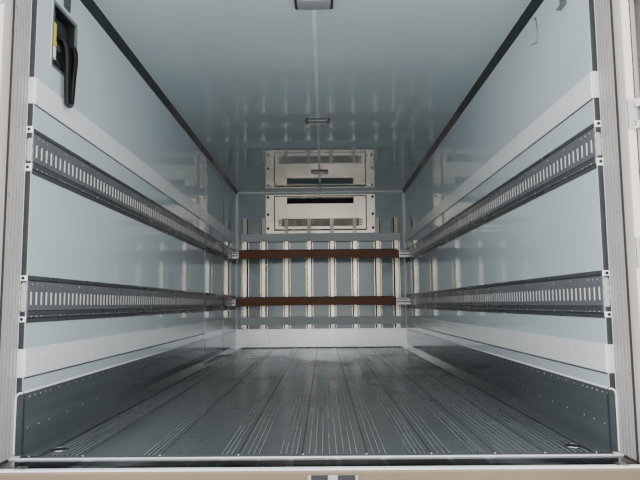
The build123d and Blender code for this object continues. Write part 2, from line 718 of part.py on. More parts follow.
with BuildPart() as load_bar_ends:
    rail_face = X_IN - RAIL_D
    for level, wood_ends in BAR_SPAN.items():
        centre = Z_FLOOR + RAIL_Z[level]
        for side, wood_end in zip((-1, 1), wood_ends):
            shoe = sorted((wood_end, side * (rail_face - SHOE_GAP)))
            tongue = sorted((wood_end, side * (X_IN + TONGUE_IN)))
            block(shoe, (BAR_Y - SHOE_T / 2, BAR_Y + SHOE_T / 2), (centre - SHOE_H / 2, centre + SHOE_H / 2))
            block(tongue, (BAR_Y - TONGUE_T / 2, BAR_Y + TONGUE_T / 2),
                  (centre + SLOT_UP - TONGUE_H / 2, centre + SLOT_UP + TONGUE_H / 2))
save(load_bar_ends, "load_bar_ends")

# Evaporator: casing through the wall with its flange
with BuildPart() as evaporator:
    flange_x = EVAP_HALF + EVAP_FLANGE_SIDE
    block((-flange_x, flange_x), (Y_BULK - EVAP_FLANGE_T, Y_BULK),
          (EVAP_FOOT - EVAP_FLANGE_LOW, EVAP_HEAD + EVAP_FLANGE_HIGH))
    block(HOLE_X, (Y_BULK, Y_NOSE), HOLE_Z)
save(evaporator, "evaporator")

# Its cover, with the outlet slot and the return opening through it
COVER_Y = (Y_BULK - EVAP_COVER_D, Y_BULK - EVAP_FLANGE_T)
OUTLET_X = EVAP_HALF - OUTLET_SIDE
OUTLET_HEAD = EVAP_HEAD - OUTLET_TOP
RETURN_X = EVAP_HALF - RETURN_SIDE
RETURN_Z = (EVAP_FOOT + RETURN_FOOT, EVAP_FOOT + RETURN_FOOT + RETURN_H)
with BuildPart() as evaporator_cover:
    block((-EVAP_HALF, EVAP_HALF), COVER_Y, (EVAP_FOOT, EVAP_HEAD))
    block((-OUTLET_X, OUTLET_X), COVER_Y, (OUTLET_HEAD - OUTLET_H, OUTLET_HEAD), mode=Mode.SUBTRACT)
    block((-RETURN_X, RETURN_X), COVER_Y, RETURN_Z, mode=Mode.SUBTRACT)
save(evaporator_cover, "evaporator_cover")

# Louvres at both ends of the return opening, each set held by a post
with BuildPart() as return_louvres:
    louvre_pitch = RETURN_H / (LOUVRE_COUNT + 1)
    louvre_y = (COVER_Y[0], COVER_Y[0] + LOUVRE_T)
    for side in (-1, 1):
        for index in range(LOUVRE_COUNT):
            louvre_z = RETURN_Z[0] + (index + 1) * louvre_pitch
            ends = sorted((side * RETURN_X, side * (RETURN_X - LOUVRE_W)))
            block(ends, louvre_y, (louvre_z - LOUVRE_T / 2, louvre_z + LOUVRE_T / 2))
        post = sorted((side * (RETURN_X - LOUVRE_W), side * (RETURN_X - LOUVRE_W - LOUVRE_T)))
        block(post, louvre_y, RETURN_Z)
save(return_louvres, "return_louvres")

# Condensing unit: a shroud with rounded front edges and two fan wells
COND_Z_ROW = (Z_FLOOR + COND_Z[0], Z_FLOOR + COND_Z[1])
FAN_Z = (COND_Z_ROW[0] + COND_LOW_R + COND_Z_ROW[1] - COND_TOP_R) / 2
Y_COND = Y_NOSE + COND_D
with BuildPart() as condenser_case:
    with BuildSketch(Plane.YZ.offset(-COND_W / 2)) as side_view:
        with BuildLine():
            Polyline((Y_NOSE, COND_Z_ROW[0]), (Y_COND, COND_Z_ROW[0]), (Y_COND, COND_Z_ROW[1]),
                     (Y_NOSE, COND_Z_ROW[1]), close=True)
        make_face()
        front_corners = side_view.vertices().group_by(Axis.Y)[-1].sort_by(Axis.Z)
        fillet(front_corners[0], COND_LOW_R)
        fillet(side_view.vertices().group_by(Axis.Z)[-1].sort_by(Axis.Y)[-1], COND_TOP_R)
    extrude(amount=COND_W)
    ends = condenser_case.faces().filter_by(Axis.X)
    rims = ends.edges().filter_by(lambda edge: edge.center().Y > Y_NOSE + 1)
    fillet(rims, COND_SIDE_R)
    with BuildSketch(square_to_y(Y_COND)):
        with Locations((-FAN_X, FAN_Z), (FAN_X, FAN_Z)):
            Circle(FAN_WELL_R)
    extrude(amount=FAN_WELL_D, mode=Mode.SUBTRACT)
    with BuildSketch(square_to_y(Y_COND - FAN_WELL_D)):
        with Locations((-FAN_X, FAN_Z), (FAN_X, FAN_Z)):
            Circle(AXLE_R)
    extrude(amount=-(FAN_WELL_D - FAN_GAP - FAN_HUB_L + AXLE_IN))
save(condenser_case, "condenser_case")

# Guards over the fan wells: a rim with level bars
with BuildPart() as fan_guards:
    guard_r = FAN_WELL_R + GUARD_RIM
    bar_pitch = 2 * FAN_WELL_R / (GUARD_BARS + 1)
    with BuildSketch(square_to_y(Y_COND)):
        for fan_x in (-FAN_X, FAN_X):
            with Locations((fan_x, FAN_Z)):
                Circle(guard_r)
                Circle(FAN_WELL_R - GUARD_RIM, mode=Mode.SUBTRACT)
            for index in range(GUARD_BARS):
                rise = (index - (GUARD_BARS - 1) / 2) * bar_pitch
                with Locations((fan_x, FAN_Z + rise)):
                    Rectangle(2 * (FAN_WELL_R**2 - rise**2) ** 0.5, GUARD_BAR_W)
    extrude(amount=-GUARD_T)
save(fan_guards, "fan_guards")

# Fans: a hub bored for its axle, with pitched blades
for hand, side in (("left", -1), ("right", 1)):
    hub_back = Y_COND - FAN_GAP - FAN_HUB_L
    with BuildPart() as fan:
        with BuildSketch(square_to_y(hub_back)):
            with Locations((side * FAN_X, FAN_Z)):
                Circle(FAN_HUB_R)
        extrude(amount=-FAN_HUB_L)
        blade_root = FAN_HUB_R - FAN_BLADE_T
        middle = Plane(origin=(side * FAN_X, hub_back + FAN_HUB_L / 2, FAN_Z), x_dir=(1, 0, 0), z_dir=(0, 1, 0))
        with Locations(middle):
            with PolarLocations((blade_root + FAN_R) / 2, FAN_BLADES):
                Box(FAN_R - blade_root, FAN_BLADE_W, FAN_BLADE_T, rotation=(FAN_PITCH, 0, 0))
        with BuildSketch(square_to_y(hub_back)):
            with Locations((side * FAN_X, FAN_Z)):
                Circle(AXLE_R + BORE_CLEAR)
        extrude(amount=-(AXLE_IN + FAN_BLADE_T), mode=Mode.SUBTRACT)
    save(fan, f"condenser_fan_{hand}")

# Ceiling lamps: a frame round a lens
with BuildPart() as ceiling_lamps:
    for lamp_y in LAMP_Y:
        with BuildSketch(Plane.XY.offset(Z_CEIL - LAMP_T)):
            with Locations((0, Y_WALLS + lamp_y)):
                RectangleRounded(LAMP_W, LAMP_L, LAMP_FRAME)
        extrude(amount=LAMP_T)
        with BuildSketch(Plane.XY.offset(Z_CEIL - LAMP_T)):
            with Locations((0, Y_WALLS + lamp_y)):
                RectangleRounded(LAMP_W - 2 * LAMP_FRAME, LAMP_L - 2 * LAMP_FRAME, LAMP_FRAME / 2)
        extrude(amount=LAMP_FRAME / 2, mode=Mode.SUBTRACT)
save(ceiling_lamps, "ceiling_lamps")

# Dark cove strips along both ceiling corners
with BuildPart() as ceiling_coves:
    for side in (-1, 1):
        run_y([(side * X_IN, Z_CEIL), (side * X_IN, Z_CEIL - COVE_H), (side * (X_IN - COVE_W), Z_CEIL)],
              Y_WALLS, Y_BULK - TRIM_LEG)
save(ceiling_coves, "ceiling_coves")

# Cover strip along the ceiling's middle, cut round the lamps
with BuildPart() as ceiling_strip:
    block((-STRIP_W / 2, STRIP_W / 2), (Y_WALLS, Y_BULK - TRIM_LEG), (Z_CEIL - STRIP_T, Z_CEIL))
    for lamp_y in LAMP_Y:
        lamp = (Y_WALLS + lamp_y - LAMP_L / 2, Y_WALLS + lamp_y + LAMP_L / 2)
        block((-STRIP_W / 2, STRIP_W / 2), lamp, (Z_CEIL - STRIP_T, Z_CEIL), mode=Mode.SUBTRACT)
save(ceiling_strip, "ceiling_strip")

# Angle trims in the two front corners and along the top of the front wall
with BuildPart() as corner_trims:
    trim_foot = Z_FLOOR + FRONT_KICK_H
    for side in (-1, 1):
        run_z(
            [(side * X_IN, Y_BULK), (side * (X_IN - TRIM_LEG), Y_BULK),
             (side * (X_IN - TRIM_LEG), Y_BULK - TRIM_T), (side * (X_IN - TRIM_T), Y_BULK - TRIM_T),
             (side * (X_IN - TRIM_T), Y_BULK - TRIM_LEG), (side * X_IN, Y_BULK - TRIM_LEG)],
            trim_foot, Z_CEIL)
    run_x(
        [(Y_BULK, Z_CEIL), (Y_BULK - TRIM_LEG, Z_CEIL), (Y_BULK - TRIM_LEG, Z_CEIL - TRIM_T),
         (Y_BULK - TRIM_T, Z_CEIL - TRIM_T), (Y_BULK - TRIM_T, Z_CEIL - TRIM_LEG),
         (Y_BULK, Z_CEIL - TRIM_LEG)],
        -X_IN, X_IN)
save(corner_trims, "corner_trims")

# Service box: a lined pocket with a rim and two glands for the conduit
X_BOX_BACK = -X_IN - BOX_D + BOX_T
CONDUIT_ENDS = [(BOX_Y_ROW[0] + 72, BOX_Z_ROW[0] + 148), (BOX_Y_ROW[0] + 188, BOX_Z_ROW[0] + 154)]
with BuildPart() as service_box:
    block((-X_IN - BOX_D, -X_IN), BOX_Y_ROW, BOX_Z_ROW)
    rim_y = (BOX_Y_ROW[0] - BOX_RIM, BOX_Y_ROW[1] + BOX_RIM)
    rim_z = (BOX_Z_ROW[0] - BOX_RIM, BOX_Z_ROW[1] + BOX_RIM)
    block((-X_IN, -X_IN + BOX_T), rim_y, rim_z)
    inner_y = (BOX_Y_ROW[0] + BOX_T, BOX_Y_ROW[1] - BOX_T)
    inner_z = (BOX_Z_ROW[0] + BOX_T, BOX_Z_ROW[1] - BOX_T)
    block((X_BOX_BACK, -X_IN + BOX_T), inner_y, inner_z, mode=Mode.SUBTRACT)
    with BuildSketch(Plane.YZ.offset(X_BOX_BACK)):
        with Locations(*CONDUIT_ENDS):
            Circle(GLAND_R)
    extrude(amount=GLAND_L)
save(service_box, "service_box")

# Corrugated conduit that hangs out of the box in a loop and goes back in
CONDUIT_X = -X_IN + 54
CONDUIT_ROUTE = [
    (X_BOX_BACK + GLAND_L, CONDUIT_ENDS[0][0], CONDUIT_ENDS[0][1]),
    (CONDUIT_X - 38, CONDUIT_ENDS[0][0], CONDUIT_ENDS[0][1]),
    (CONDUIT_X, Y_WALLS + 230, Z_FLOOR + 1740),
    (CONDUIT_X + 2, Y_WALLS + 238, Z_FLOOR + 1650),
    (CONDUIT_X, Y_WALLS + 243, Z_FLOOR + 1560),
    (CONDUIT_X - 1, Y_WALLS + 254, Z_FLOOR + 1500),
    (CONDUIT_X, Y_WALLS + 308, Z_FLOOR + 1502),
    (CONDUIT_X + 1, Y_WALLS + 316, Z_FLOOR + 1566),
    (CONDUIT_X + 3, Y_WALLS + 322, Z_FLOOR + 1655),
    (CONDUIT_X, Y_WALLS + 330, Z_FLOOR + 1744),
    (CONDUIT_X - 38, CONDUIT_ENDS[1][0], CONDUIT_ENDS[1][1]),
    (X_BOX_BACK + GLAND_L, CONDUIT_ENDS[1][0], CONDUIT_ENDS[1][1]),
]


def bend_radii(route):
    """Radius at each inner point: 0.45 of the shorter run over the tangent of half the turn."""
    points = [Vector(*point) for point in route]
    radii = []
    for before, here, after in zip(points, points[1:], points[2:]):
        turn = (here - before).get_angle(after - here)
        shorter = min((here - before).length, (after - here).length)
        radii.append(0.45 * shorter / tan(radians(turn / 2)))
    return radii


with BuildPart() as conduit_loop:
    with BuildLine() as conduit_path:
        FilletPolyline(*CONDUIT_ROUTE, radius=bend_radii(CONDUIT_ROUTE))
    start = Plane(origin=CONDUIT_ROUTE[0], z_dir=conduit_path.line % 0)
    with BuildSketch(start):
        RegularPolygon(CONDUIT_D / 2, CONDUIT_SIDES)
    sweep(path=conduit_path.line)
conduit_length = sum(edge.length for edge in conduit_path.edges())
conduit_section = CONDUIT_SIDES * (CONDUIT_D / 2)**2 * sin(2 * pi / CONDUIT_SIDES) / 2
print("conduit radii", [round(radius) for radius in bend_radii(CONDUIT_ROUTE)])
print("conduit length", round(conduit_length), "volume", round(conduit_loop.part.volume),
      "section times length", round(conduit_length * conduit_section))
save(conduit_loop, "conduit_loop")


def hinge_base(pin):
    """Fixed half of a hinge: plate, two knuckles and the pin, about the plane at its middle.

    The plane's x points from the pin to the leaf and its y out of the closed leaf's skin.
    """
    plate = PIN_BACK - BASE_T
    with BuildSketch(pin) as base:
        with Locations((PIN_OUT + BASE_W / 2, -PIN_BACK + BASE_T / 2)):
            Rectangle(BASE_W, BASE_T)
    extrude(base.sketch, amount=HINGE_H / 2, both=True)
    for low in (-HINGE_H / 2, HINGE_H / 2 - KNUCKLE_H):
        with BuildSketch(pin.offset(low)) as knuckle:
            Circle(BARREL_R)
            with BuildLine():
                Polyline((PIN_OUT, -plate), (PIN_OUT + BASE_WEB, -plate),
                         (BARREL_R * 0.6, BARREL_R * 0.8), (-BARREL_R * 0.6, -BARREL_R * 0.8), close=True)
            make_face()
        extrude(knuckle.sketch, amount=KNUCKLE_H)
    with BuildSketch(pin) as rod:
        Circle(PIN_R)
    extrude(rod.sketch, amount=HINGE_H / 2, both=True)


def hinge_strap(pin):
    """Moving half of a hinge: barrel, cranked arm and strap on the leaf's skin."""
    half = HINGE_H / 2 - KNUCKLE_H - KNUCKLE_GAP
    skin = -PIN_BACK
    crank = LEAF_EDGE + STRAP_T
    with BuildSketch(pin) as strap:
        Circle(BARREL_R)
        with BuildLine():
            Polyline((0, -2), (LEAF_EDGE - 12, -STRAP_ARM_T - 2), (crank + 8, skin + STRAP_T),
                     (crank + STRAP_L, skin + STRAP_T), (crank + STRAP_L, skin), (crank, skin),
                     (LEAF_EDGE - 16, -2 * STRAP_ARM_T - 2), (0, -STRAP_ARM_T - 2), close=True)
        make_face()
        Circle(PIN_R + BORE_CLEAR, mode=Mode.SUBTRACT)
    extrude(strap.sketch, amount=half, both=True)


# Fixed halves of all hinges: on both rear posts and in front of the side doorway
Y_SIDE_PIN = Y_SIDE[1] - SIDE_GAP + LEAF_EDGE
X_SIDE_PIN = -X_OUT - PIN_BACK
with BuildPart() as post_hinges:
    for height in REAR_HINGE_Z:
        hinge_base(Plane(origin=(X_PIN, Y_PIN, Z_FLOOR + height), x_dir=(-1, 0, 0), z_dir=(0, 0, 1)))
with BuildPart() as hinge_bases:
    add(post_hinges.part)
    add(mirror(post_hinges.part, about=Plane.YZ, mode=Mode.PRIVATE))
    for height in SIDE_HINGE_Z:
        hinge_base(Plane(origin=(X_SIDE_PIN, Y_SIDE_PIN, Z_FLOOR + height), x_dir=(0, -1, 0), z_dir=(0, 0, -1)))
save(hinge_bases, "hinge_bases")

# Straps of the rear doors, which rest folded along the sides
with BuildPart() as door_straps:
    for height in REAR_HINGE_Z:
        hinge_strap(Plane(origin=(X_PIN, Y_PIN, Z_FLOOR + height), x_dir=(0, 1, 0), z_dir=(0, 0, 1)))
save_pair(door_straps, "rear_door_straps")


def leaf_block(u, v, z, mode=Mode.ADD):
    """Box on the open right-hand door: u along the leaf from the pin, v out of its skin."""
    block((X_PIN - v[1], X_PIN - v[0]), (Y_PIN + u[0], Y_PIN + u[1]), z, mode=mode)


# Rear doors: an outer slab and a stepped plug that fills the reveal
LEAF_U = (LEAF_EDGE, X_PIN - DOOR_GAP / 2)
PLUG_U = (LEAF_U[0] + PLUG_STEP, LEAF_U[1] - PLUG_STEP)
PLUG_Z = (Z_LEAF[0] + PLUG_STEP, Z_LEAF[1] - PLUG_STEP)
SKIN_V = -PIN_BACK
BACK_V = SKIN_V - DOOR_SKIN_D
PLUG_V = BACK_V - PLUG_STRAIGHT
with BuildPart() as leaf:
    leaf_block(LEAF_U, (BACK_V, SKIN_V), Z_LEAF)
    leaf_block(PLUG_U, (PLUG_V, BACK_V), PLUG_Z)
    with BuildSketch(Plane.YZ.offset(X_PIN - PLUG_V)):
        with Locations((Y_PIN + (PLUG_U[0] + PLUG_U[1]) / 2, (PLUG_Z[0] + PLUG_Z[1]) / 2)):
            Rectangle(PLUG_U[1] - PLUG_U[0], PLUG_Z[1] - PLUG_Z[0])
    extrude(amount=PLUG_TAPERED, taper=PLUG_DRAFT)
with BuildPart() as rear_door_left:
    add(mirror(leaf.part, about=Plane.YZ, mode=Mode.PRIVATE))
save(rear_door_left, "rear_door_left")

# The right-hand leaf closes last and carries the overlap for the gap between them
with BuildPart() as rear_door_right:
    add(leaf.part)
    lap_foot = SKIN_V + ASTRAGAL_CLEAR
    lap = [
        (LEAF_U[1] - ASTRAGAL_BASE, SKIN_V), (LEAF_U[1], SKIN_V), (LEAF_U[1], lap_foot),
        (X_PIN + ASTRAGAL_LAP, lap_foot), (X_PIN + ASTRAGAL_LAP, lap_foot + ASTRAGAL_T),
        (LEAF_U[1] - ASTRAGAL_T, lap_foot + ASTRAGAL_T), (LEAF_U[1] - 2 * ASTRAGAL_T, SKIN_V + ASTRAGAL_T),
        (LEAF_U[1] - ASTRAGAL_BASE, SKIN_V + ASTRAGAL_T)]
    run_z([(X_PIN - v, Y_PIN + u) for u, v in lap], Z_LEAF[0] + DOOR_GAP, Z_LEAF[1] - DOOR_GAP)
save(rear_door_right, "rear_door_right")

# Seals round the plugs
with BuildPart() as door_seal:
    seal_u = (X_PIN - X_JAMB + SEAL_CLEAR, X_PIN - SEAL_CLEAR)
    seal_z = (Z_LEAF[0] + SEAL_CLEAR - SILL_DROP + SILL_RIB_H, Z_HEAD - JAMB_T - SEAL_CLEAR)
    leaf_block(seal_u, (BACK_V - SEAL_D, BACK_V), seal_z)
    leaf_block(PLUG_U, (BACK_V - SEAL_D, BACK_V), PLUG_Z, mode=Mode.SUBTRACT)
save_pair(door_seal, "rear_door_seal")

# Lock gear: a rod with claws at both ends, its guides and its handle
ROD_U = X_PIN - ROD_X
ROD_V = SKIN_V + ROD_STAND
KEEPER_LOW = (Z_FLOOR - SILL_DROP - SILL_NOSE - KEEPER_DROP - KEEPER_H,
              Z_FLOOR - SILL_DROP - SILL_NOSE - KEEPER_DROP)
KEEPER_HIGH = (Z_HEAD + KEEPER_DROP, Z_HEAD + KEEPER_DROP + KEEPER_H)
CAM_Z = (KEEPER_LOW[1] + KEEPER_DROP, KEEPER_HIGH[0] - KEEPER_DROP)
with BuildPart() as lock_gear:
    with BuildSketch(Plane.XY.offset(CAM_Z[0])):
        with Locations((X_PIN - ROD_V, Y_PIN + ROD_U)):
            Circle(ROD_R)
    extrude(amount=CAM_Z[1] - CAM_Z[0])
    cam_v = (ROD_V - CAM_D / 2, ROD_V + CAM_D / 2)
    claw_v = (cam_v[0] - KEEPER_T, cam_v[0] - KEEPER_T + CLAW_D)
    for end, way in ((CAM_Z[0], 1), (CAM_Z[1], -1)):
        plate_z = sorted((end, end + way * CAM_H))
        leaf_block((ROD_U - CAM_W / 2, ROD_U + CAM_W / 2), cam_v, plate_z)
        for side in (-1, 1):
            claw_u = sorted((ROD_U + side * CAM_W / 2, ROD_U + side * (CAM_W / 2 - CLAW_W)))
            leaf_block(claw_u, claw_v, sorted((end + way * CAM_H, end - way * (CLAW_H - KEEPER_DROP))))
    for height in ROD_GUIDE_Z:
        guide_z = (Z_FLOOR + height, Z_FLOOR + height + GUIDE_H)
        leaf_block((ROD_U - GUIDE_W / 2, ROD_U + GUIDE_W / 2), (SKIN_V, SKIN_V + KEEPER_T), guide_z)
        leaf_block((ROD_U - ROD_R - 4, ROD_U + ROD_R + 4), (SKIN_V, ROD_V + ROD_R + 3), guide_z)
    handle_z = Z_FLOOR + HANDLE_Z
    lever_v = (ROD_V - HANDLE_T, ROD_V)
    leaf_block((ROD_U - HANDLE_L, ROD_U), lever_v, (handle_z, handle_z + HANDLE_H))
    leaf_block((ROD_U - ROD_R - 5, ROD_U + ROD_R + 5), (ROD_V - ROD_R - 3, ROD_V + ROD_R + 3),
               (handle_z - 8, handle_z + HANDLE_H + 8))
    catch_u = ROD_U - HANDLE_L + HANDLE_H
    leaf_block((catch_u, catch_u + HANDLE_H), (SKIN_V, ROD_V), (handle_z - 12, handle_z + HANDLE_H + 12))
save(lock_gear, "rear_door_lock")

# Keepers on the threshold and the header, each with two pockets open to the rear
with BuildPart() as lock_keepers:
    for keeper_z in (KEEPER_LOW, KEEPER_HIGH):
        left, right = ROD_X - KEEPER_W / 2, ROD_X + KEEPER_W / 2
        block((left, right), (Y_FRAME - KEEPER_T, Y_FRAME), keeper_z)
        ribs = ((left, left + KEEPER_END_W), (right - KEEPER_END_W, right),
                (ROD_X - KEEPER_CENTRE_W / 2, ROD_X + KEEPER_CENTRE_W / 2))
        for rib in ribs:
            block(rib, (Y_FRAME - KEEPER_T - KEEPER_RIB, Y_FRAME), keeper_z)
save(lock_keepers, "lock_keepers")

SIDE_FIT = (Y_SIDE[0] + SIDE_FIT_INSET, Y_SIDE[1] - SIDE_FIT_INSET)

# Side door: a leaf with bevelled edges, its inner fittings, hinge straps and handle
with BuildPart() as side_door:
    with BuildSketch(Plane.YZ.offset(-X_OUT)):
        with Locations(((Y_SIDE[0] + Y_SIDE[1]) / 2, Z_FLOOR + SIDE_H / 2)):
            Rectangle(SIDE_W - 2 * SIDE_GAP, SIDE_H - 2 * SIDE_GAP)
    extrude(amount=WALL_T, taper=SIDE_DRAFT)
    rail_hollows(-1, *SIDE_FIT)
save(side_door, "side_door")

with BuildPart() as side_door_rails:
    for height in RAIL_Z.values():
        run_y(rail_outline(-1, height, X_IN), *SIDE_FIT)
        cut_slots(-1, height, X_IN, *SIDE_FIT)
save(side_door_rails, "side_door_rails")

with BuildPart() as side_door_bands:
    for height in BAND_Z.values():
        run_y(band_outline(-1, height, X_IN), *SIDE_FIT)
save(side_door_bands, "side_door_bands")

with BuildPart() as side_door_kick:
    block((-X_IN, -X_IN + KICK_T), SIDE_FIT, (Z_FLOOR + 2 * SIDE_FIT_INSET / 3, Z_FLOOR + KICK_H))
save(side_door_kick, "side_door_kick")

with BuildPart() as side_door_gear:
    for height in SIDE_HINGE_Z:
        hinge_strap(Plane(origin=(X_SIDE_PIN, Y_SIDE_PIN, Z_FLOOR + height), x_dir=(0, -1, 0), z_dir=(0, 0, -1)))
    handle_y = Y_SIDE[0] + 2 * SIDE_FIT_INSET
    handle_z = Z_FLOOR + SIDE_HANDLE_Z
    with BuildSketch(Plane.YZ.offset(-X_OUT)):
        with Locations((handle_y + HANDLE_L / 2, handle_z)):
            RectangleRounded(HANDLE_L, 4 * HANDLE_H, HANDLE_T)
    extrude(amount=-BASE_T)
    bar_x = (-X_OUT - BASE_T - 3 * HANDLE_T, -X_OUT - BASE_T - 2 * HANDLE_T)
    bar_z = (handle_z - HANDLE_H / 2, handle_z + HANDLE_H / 2)
    block(bar_x, (handle_y + HANDLE_H, handle_y + HANDLE_L - HANDLE_H), bar_z)
    for foot_y in (handle_y + HANDLE_H, handle_y + HANDLE_L - 2 * HANDLE_H):
        block((bar_x[0], -X_OUT - BASE_T), (foot_y, foot_y + HANDLE_H), bar_z)
save(side_door_gear, "side_door_gear")
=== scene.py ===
"""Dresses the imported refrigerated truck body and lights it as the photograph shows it.

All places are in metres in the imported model's own frame: X to the body's right, Y forward, Z up.
"""

import logging
from dataclasses import dataclass, field
from enum import Enum
from itertools import accumulate
from math import cos, pi, radians, sin
from typing import Any, Iterable, Optional, Sequence

import bmesh
import bpy
from mathutils import Matrix, Vector


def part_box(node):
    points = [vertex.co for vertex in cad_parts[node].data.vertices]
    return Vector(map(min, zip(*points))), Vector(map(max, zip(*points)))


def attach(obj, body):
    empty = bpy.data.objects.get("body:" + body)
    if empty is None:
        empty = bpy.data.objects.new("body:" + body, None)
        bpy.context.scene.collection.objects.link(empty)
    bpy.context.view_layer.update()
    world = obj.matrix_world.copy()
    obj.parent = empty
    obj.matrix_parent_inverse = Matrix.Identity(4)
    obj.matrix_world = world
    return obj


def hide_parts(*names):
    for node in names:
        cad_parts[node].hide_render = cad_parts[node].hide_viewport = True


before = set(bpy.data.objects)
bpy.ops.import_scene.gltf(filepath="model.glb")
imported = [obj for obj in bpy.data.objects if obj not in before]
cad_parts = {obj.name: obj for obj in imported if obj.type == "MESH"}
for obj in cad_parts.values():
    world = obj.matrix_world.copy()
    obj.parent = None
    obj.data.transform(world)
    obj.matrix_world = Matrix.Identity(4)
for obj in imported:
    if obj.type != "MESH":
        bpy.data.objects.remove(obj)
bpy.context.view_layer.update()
log = logging.getLogger("truck_body")

Point = tuple[float, float, float]
Span = tuple[float, float]
Flat = tuple[Span, Span]
Box = tuple[Span, Span, Span]
Tree = bpy.types.NodeTree
Socket = bpy.types.NodeSocket

BODY = "truck_body"
DOOR = "side_door_leaf"
TO_REAR: Point = (0, -1, 0)
UP: Point = (0, 0, 1)
DOWN: Point = (0, 0, -1)


class Side(Enum):
    """The two sides of the body, as the sign of X."""

    LEFT = -1
    RIGHT = 1

    def inward(self) -> Point:
        """The way that this side's wall faces."""
        return (-self.value, 0, 0)


class Axis(Enum):
    """The three directions of the frame, as an index into a point."""

    X = 0
    Y = 1
    Z = 2


def linear(code: str) -> tuple[float, float, float, float]:
    """Turns an sRGB hex colour to linear.

    Args:
        code: Six hex digits after a hash sign.

    Returns:
        Red, green, blue and alpha, linear.
    """
    values = [int(code[i : i + 2], 16) / 255 for i in (1, 3, 5)]
    red, green, blue = (v / 12.92 if v <= 0.04045 else ((v + 0.055) / 1.055) ** 2.4 for v in values)
    return red, green, blue, 1.0


def add_node(tree: Tree, kind: str, inputs: Optional[dict[Any, Any]] = None, **settings: Any) -> bpy.types.Node:
    """Adds one node with its settings and links.

    Args:
        tree: The tree that gets the node.
        kind: The node's type.
        inputs: What goes into its sockets, a value or another node's output.
        **settings: Its own properties.

    Returns:
        The new node.
    """
    new = tree.nodes.new(kind)
    for name, value in settings.items():
        setattr(new, name, value)
    for name, value in (inputs or {}).items():
        if isinstance(value, Socket):
            tree.links.new(value, new.inputs[name])
        else:
            new.inputs[name].default_value = value
    return new


def per_metre(millimetres: float) -> float:
    """Turns the size of a pattern's repeat, in millimetres, to repeats per metre."""
    return 1000.0 / millimetres


def noise(tree: Tree, where: Socket, repeat_mm: float, detail: float) -> Socket:
    """Adds a noise pattern of a real size and returns its height."""
    inputs = {"Vector": where, "Scale": per_metre(repeat_mm), "Detail": detail}
    return add_node(tree, "ShaderNodeTexNoise", inputs).outputs["Fac"]


def drawn_out(tree: Tree, where: Socket, scale: Point) -> Socket:
    """Scales the place that a pattern reads, so that it is drawn out."""
    return add_node(tree, "ShaderNodeMapping", {"Vector": where, "Scale": scale}).outputs["Vector"]


def ramp(tree: Tree, value: Socket, source: Span, target: Span = (0.0, 1.0)) -> Socket:
    """Maps one span of values to another and cuts off what lies beyond."""
    ends = dict(zip(("From Min", "From Max", "To Min", "To Max"), (*source, *target)))
    return add_node(tree, "ShaderNodeMapRange", {"Value": value, **ends}).outputs["Result"]


def overlay(tree: Tree, share: Socket, under: Any, over: str) -> Socket:
    """Lays a colour over another by a share."""
    inputs = {"Factor": share, 6: under, 7: linear(over)}
    return add_node(tree, "ShaderNodeMix", inputs, data_type="RGBA").outputs[2]


@dataclass(frozen=True)
class Finish:
    """What every finish has: a name, two tones and how it takes the light."""

    name: str
    colour: str
    shade: str
    roughness: float = 0.5
    metallic: float = 0.0
    ior: float = 1.5
    cloud_mm: float = 300.0
    bump_mm: float = 0.05
    streaky: bool = False
    grain_mm: float = 2.0

    def stretch(self) -> Point:
        """The scale of the pattern along each axis."""
        return (1.0, 1.0, 1.0)

    def grain(self, tree: Tree, where: Socket) -> Socket:
        """The surface's fine relief, from 0 to 1."""
        return noise(tree, where, self.grain_mm, 3.0)

    def detail(self, tree: Tree, where: Socket, tone: Socket) -> Socket:
        """Lets a finish change its colour; plain finishes keep the tone."""
        return tone

    def material(self) -> bpy.types.Material:
        """Makes the material once and hands it out again after that.

        Returns:
            The material.
        """
        known = bpy.data.materials.get(self.name)
        if known:
            return known
        made = bpy.data.materials.new(self.name)
        made.use_nodes = True
        made.diffuse_color = linear(self.colour)
        tree = made.node_tree
        tree.nodes.clear()
        shader = add_node(tree, "ShaderNodeBsdfPrincipled", {"Metallic": self.metallic})
        if self.metallic < 0.5:
            shader.inputs["IOR"].default_value = self.ior
        add_node(tree, "ShaderNodeOutputMaterial", {"Surface": shader.outputs["BSDF"]})
        where = add_node(tree, "ShaderNodeTexCoord").outputs["Object"]
        drawn = drawn_out(tree, where, self.stretch())
        cloud = noise(tree, drawn if self.streaky else where, self.cloud_mm, 4.0)
        tone = overlay(tree, cloud, linear(self.shade), self.colour)
        relief = self.grain(tree, drawn)
        tree.links.new(self.detail(tree, where, tone), shader.inputs["Base Color"])
        worn = ramp(tree, cloud, (0.3, 0.7), (self.roughness * 0.8, self.roughness * 1.2))
        tree.links.new(worn, shader.inputs["Roughness"])
        if self.bump_mm:
            inputs = {"Strength": 1.0, "Distance": self.bump_mm / 1000, "Height": relief}
            bump = add_node(tree, "ShaderNodeBump", inputs)
            tree.links.new(bump.outputs["Normal"], shader.inputs["Normal"])
        return made


@dataclass(frozen=True)
class Gelcoat(Finish):
    """Polyester gelcoat, laid up against a polished mould: it mirrors softly, over a faint long wave."""

    wave_mm: float = 260.0
    peel_mm: float = 7.0
    peel_share: float = 0.12

    def grain(self, tree: Tree, where: Socket) -> Socket:
        """Long waves of the laminate with a little peel on them."""
        wave, peel = noise(tree, where, self.wave_mm, 1.0), noise(tree, where, self.peel_mm, 2.0)
        inputs = {"Factor": self.peel_share, 2: wave, 3: peel}
        return add_node(tree, "ShaderNodeMix", inputs, data_type="FLOAT").outputs[0]


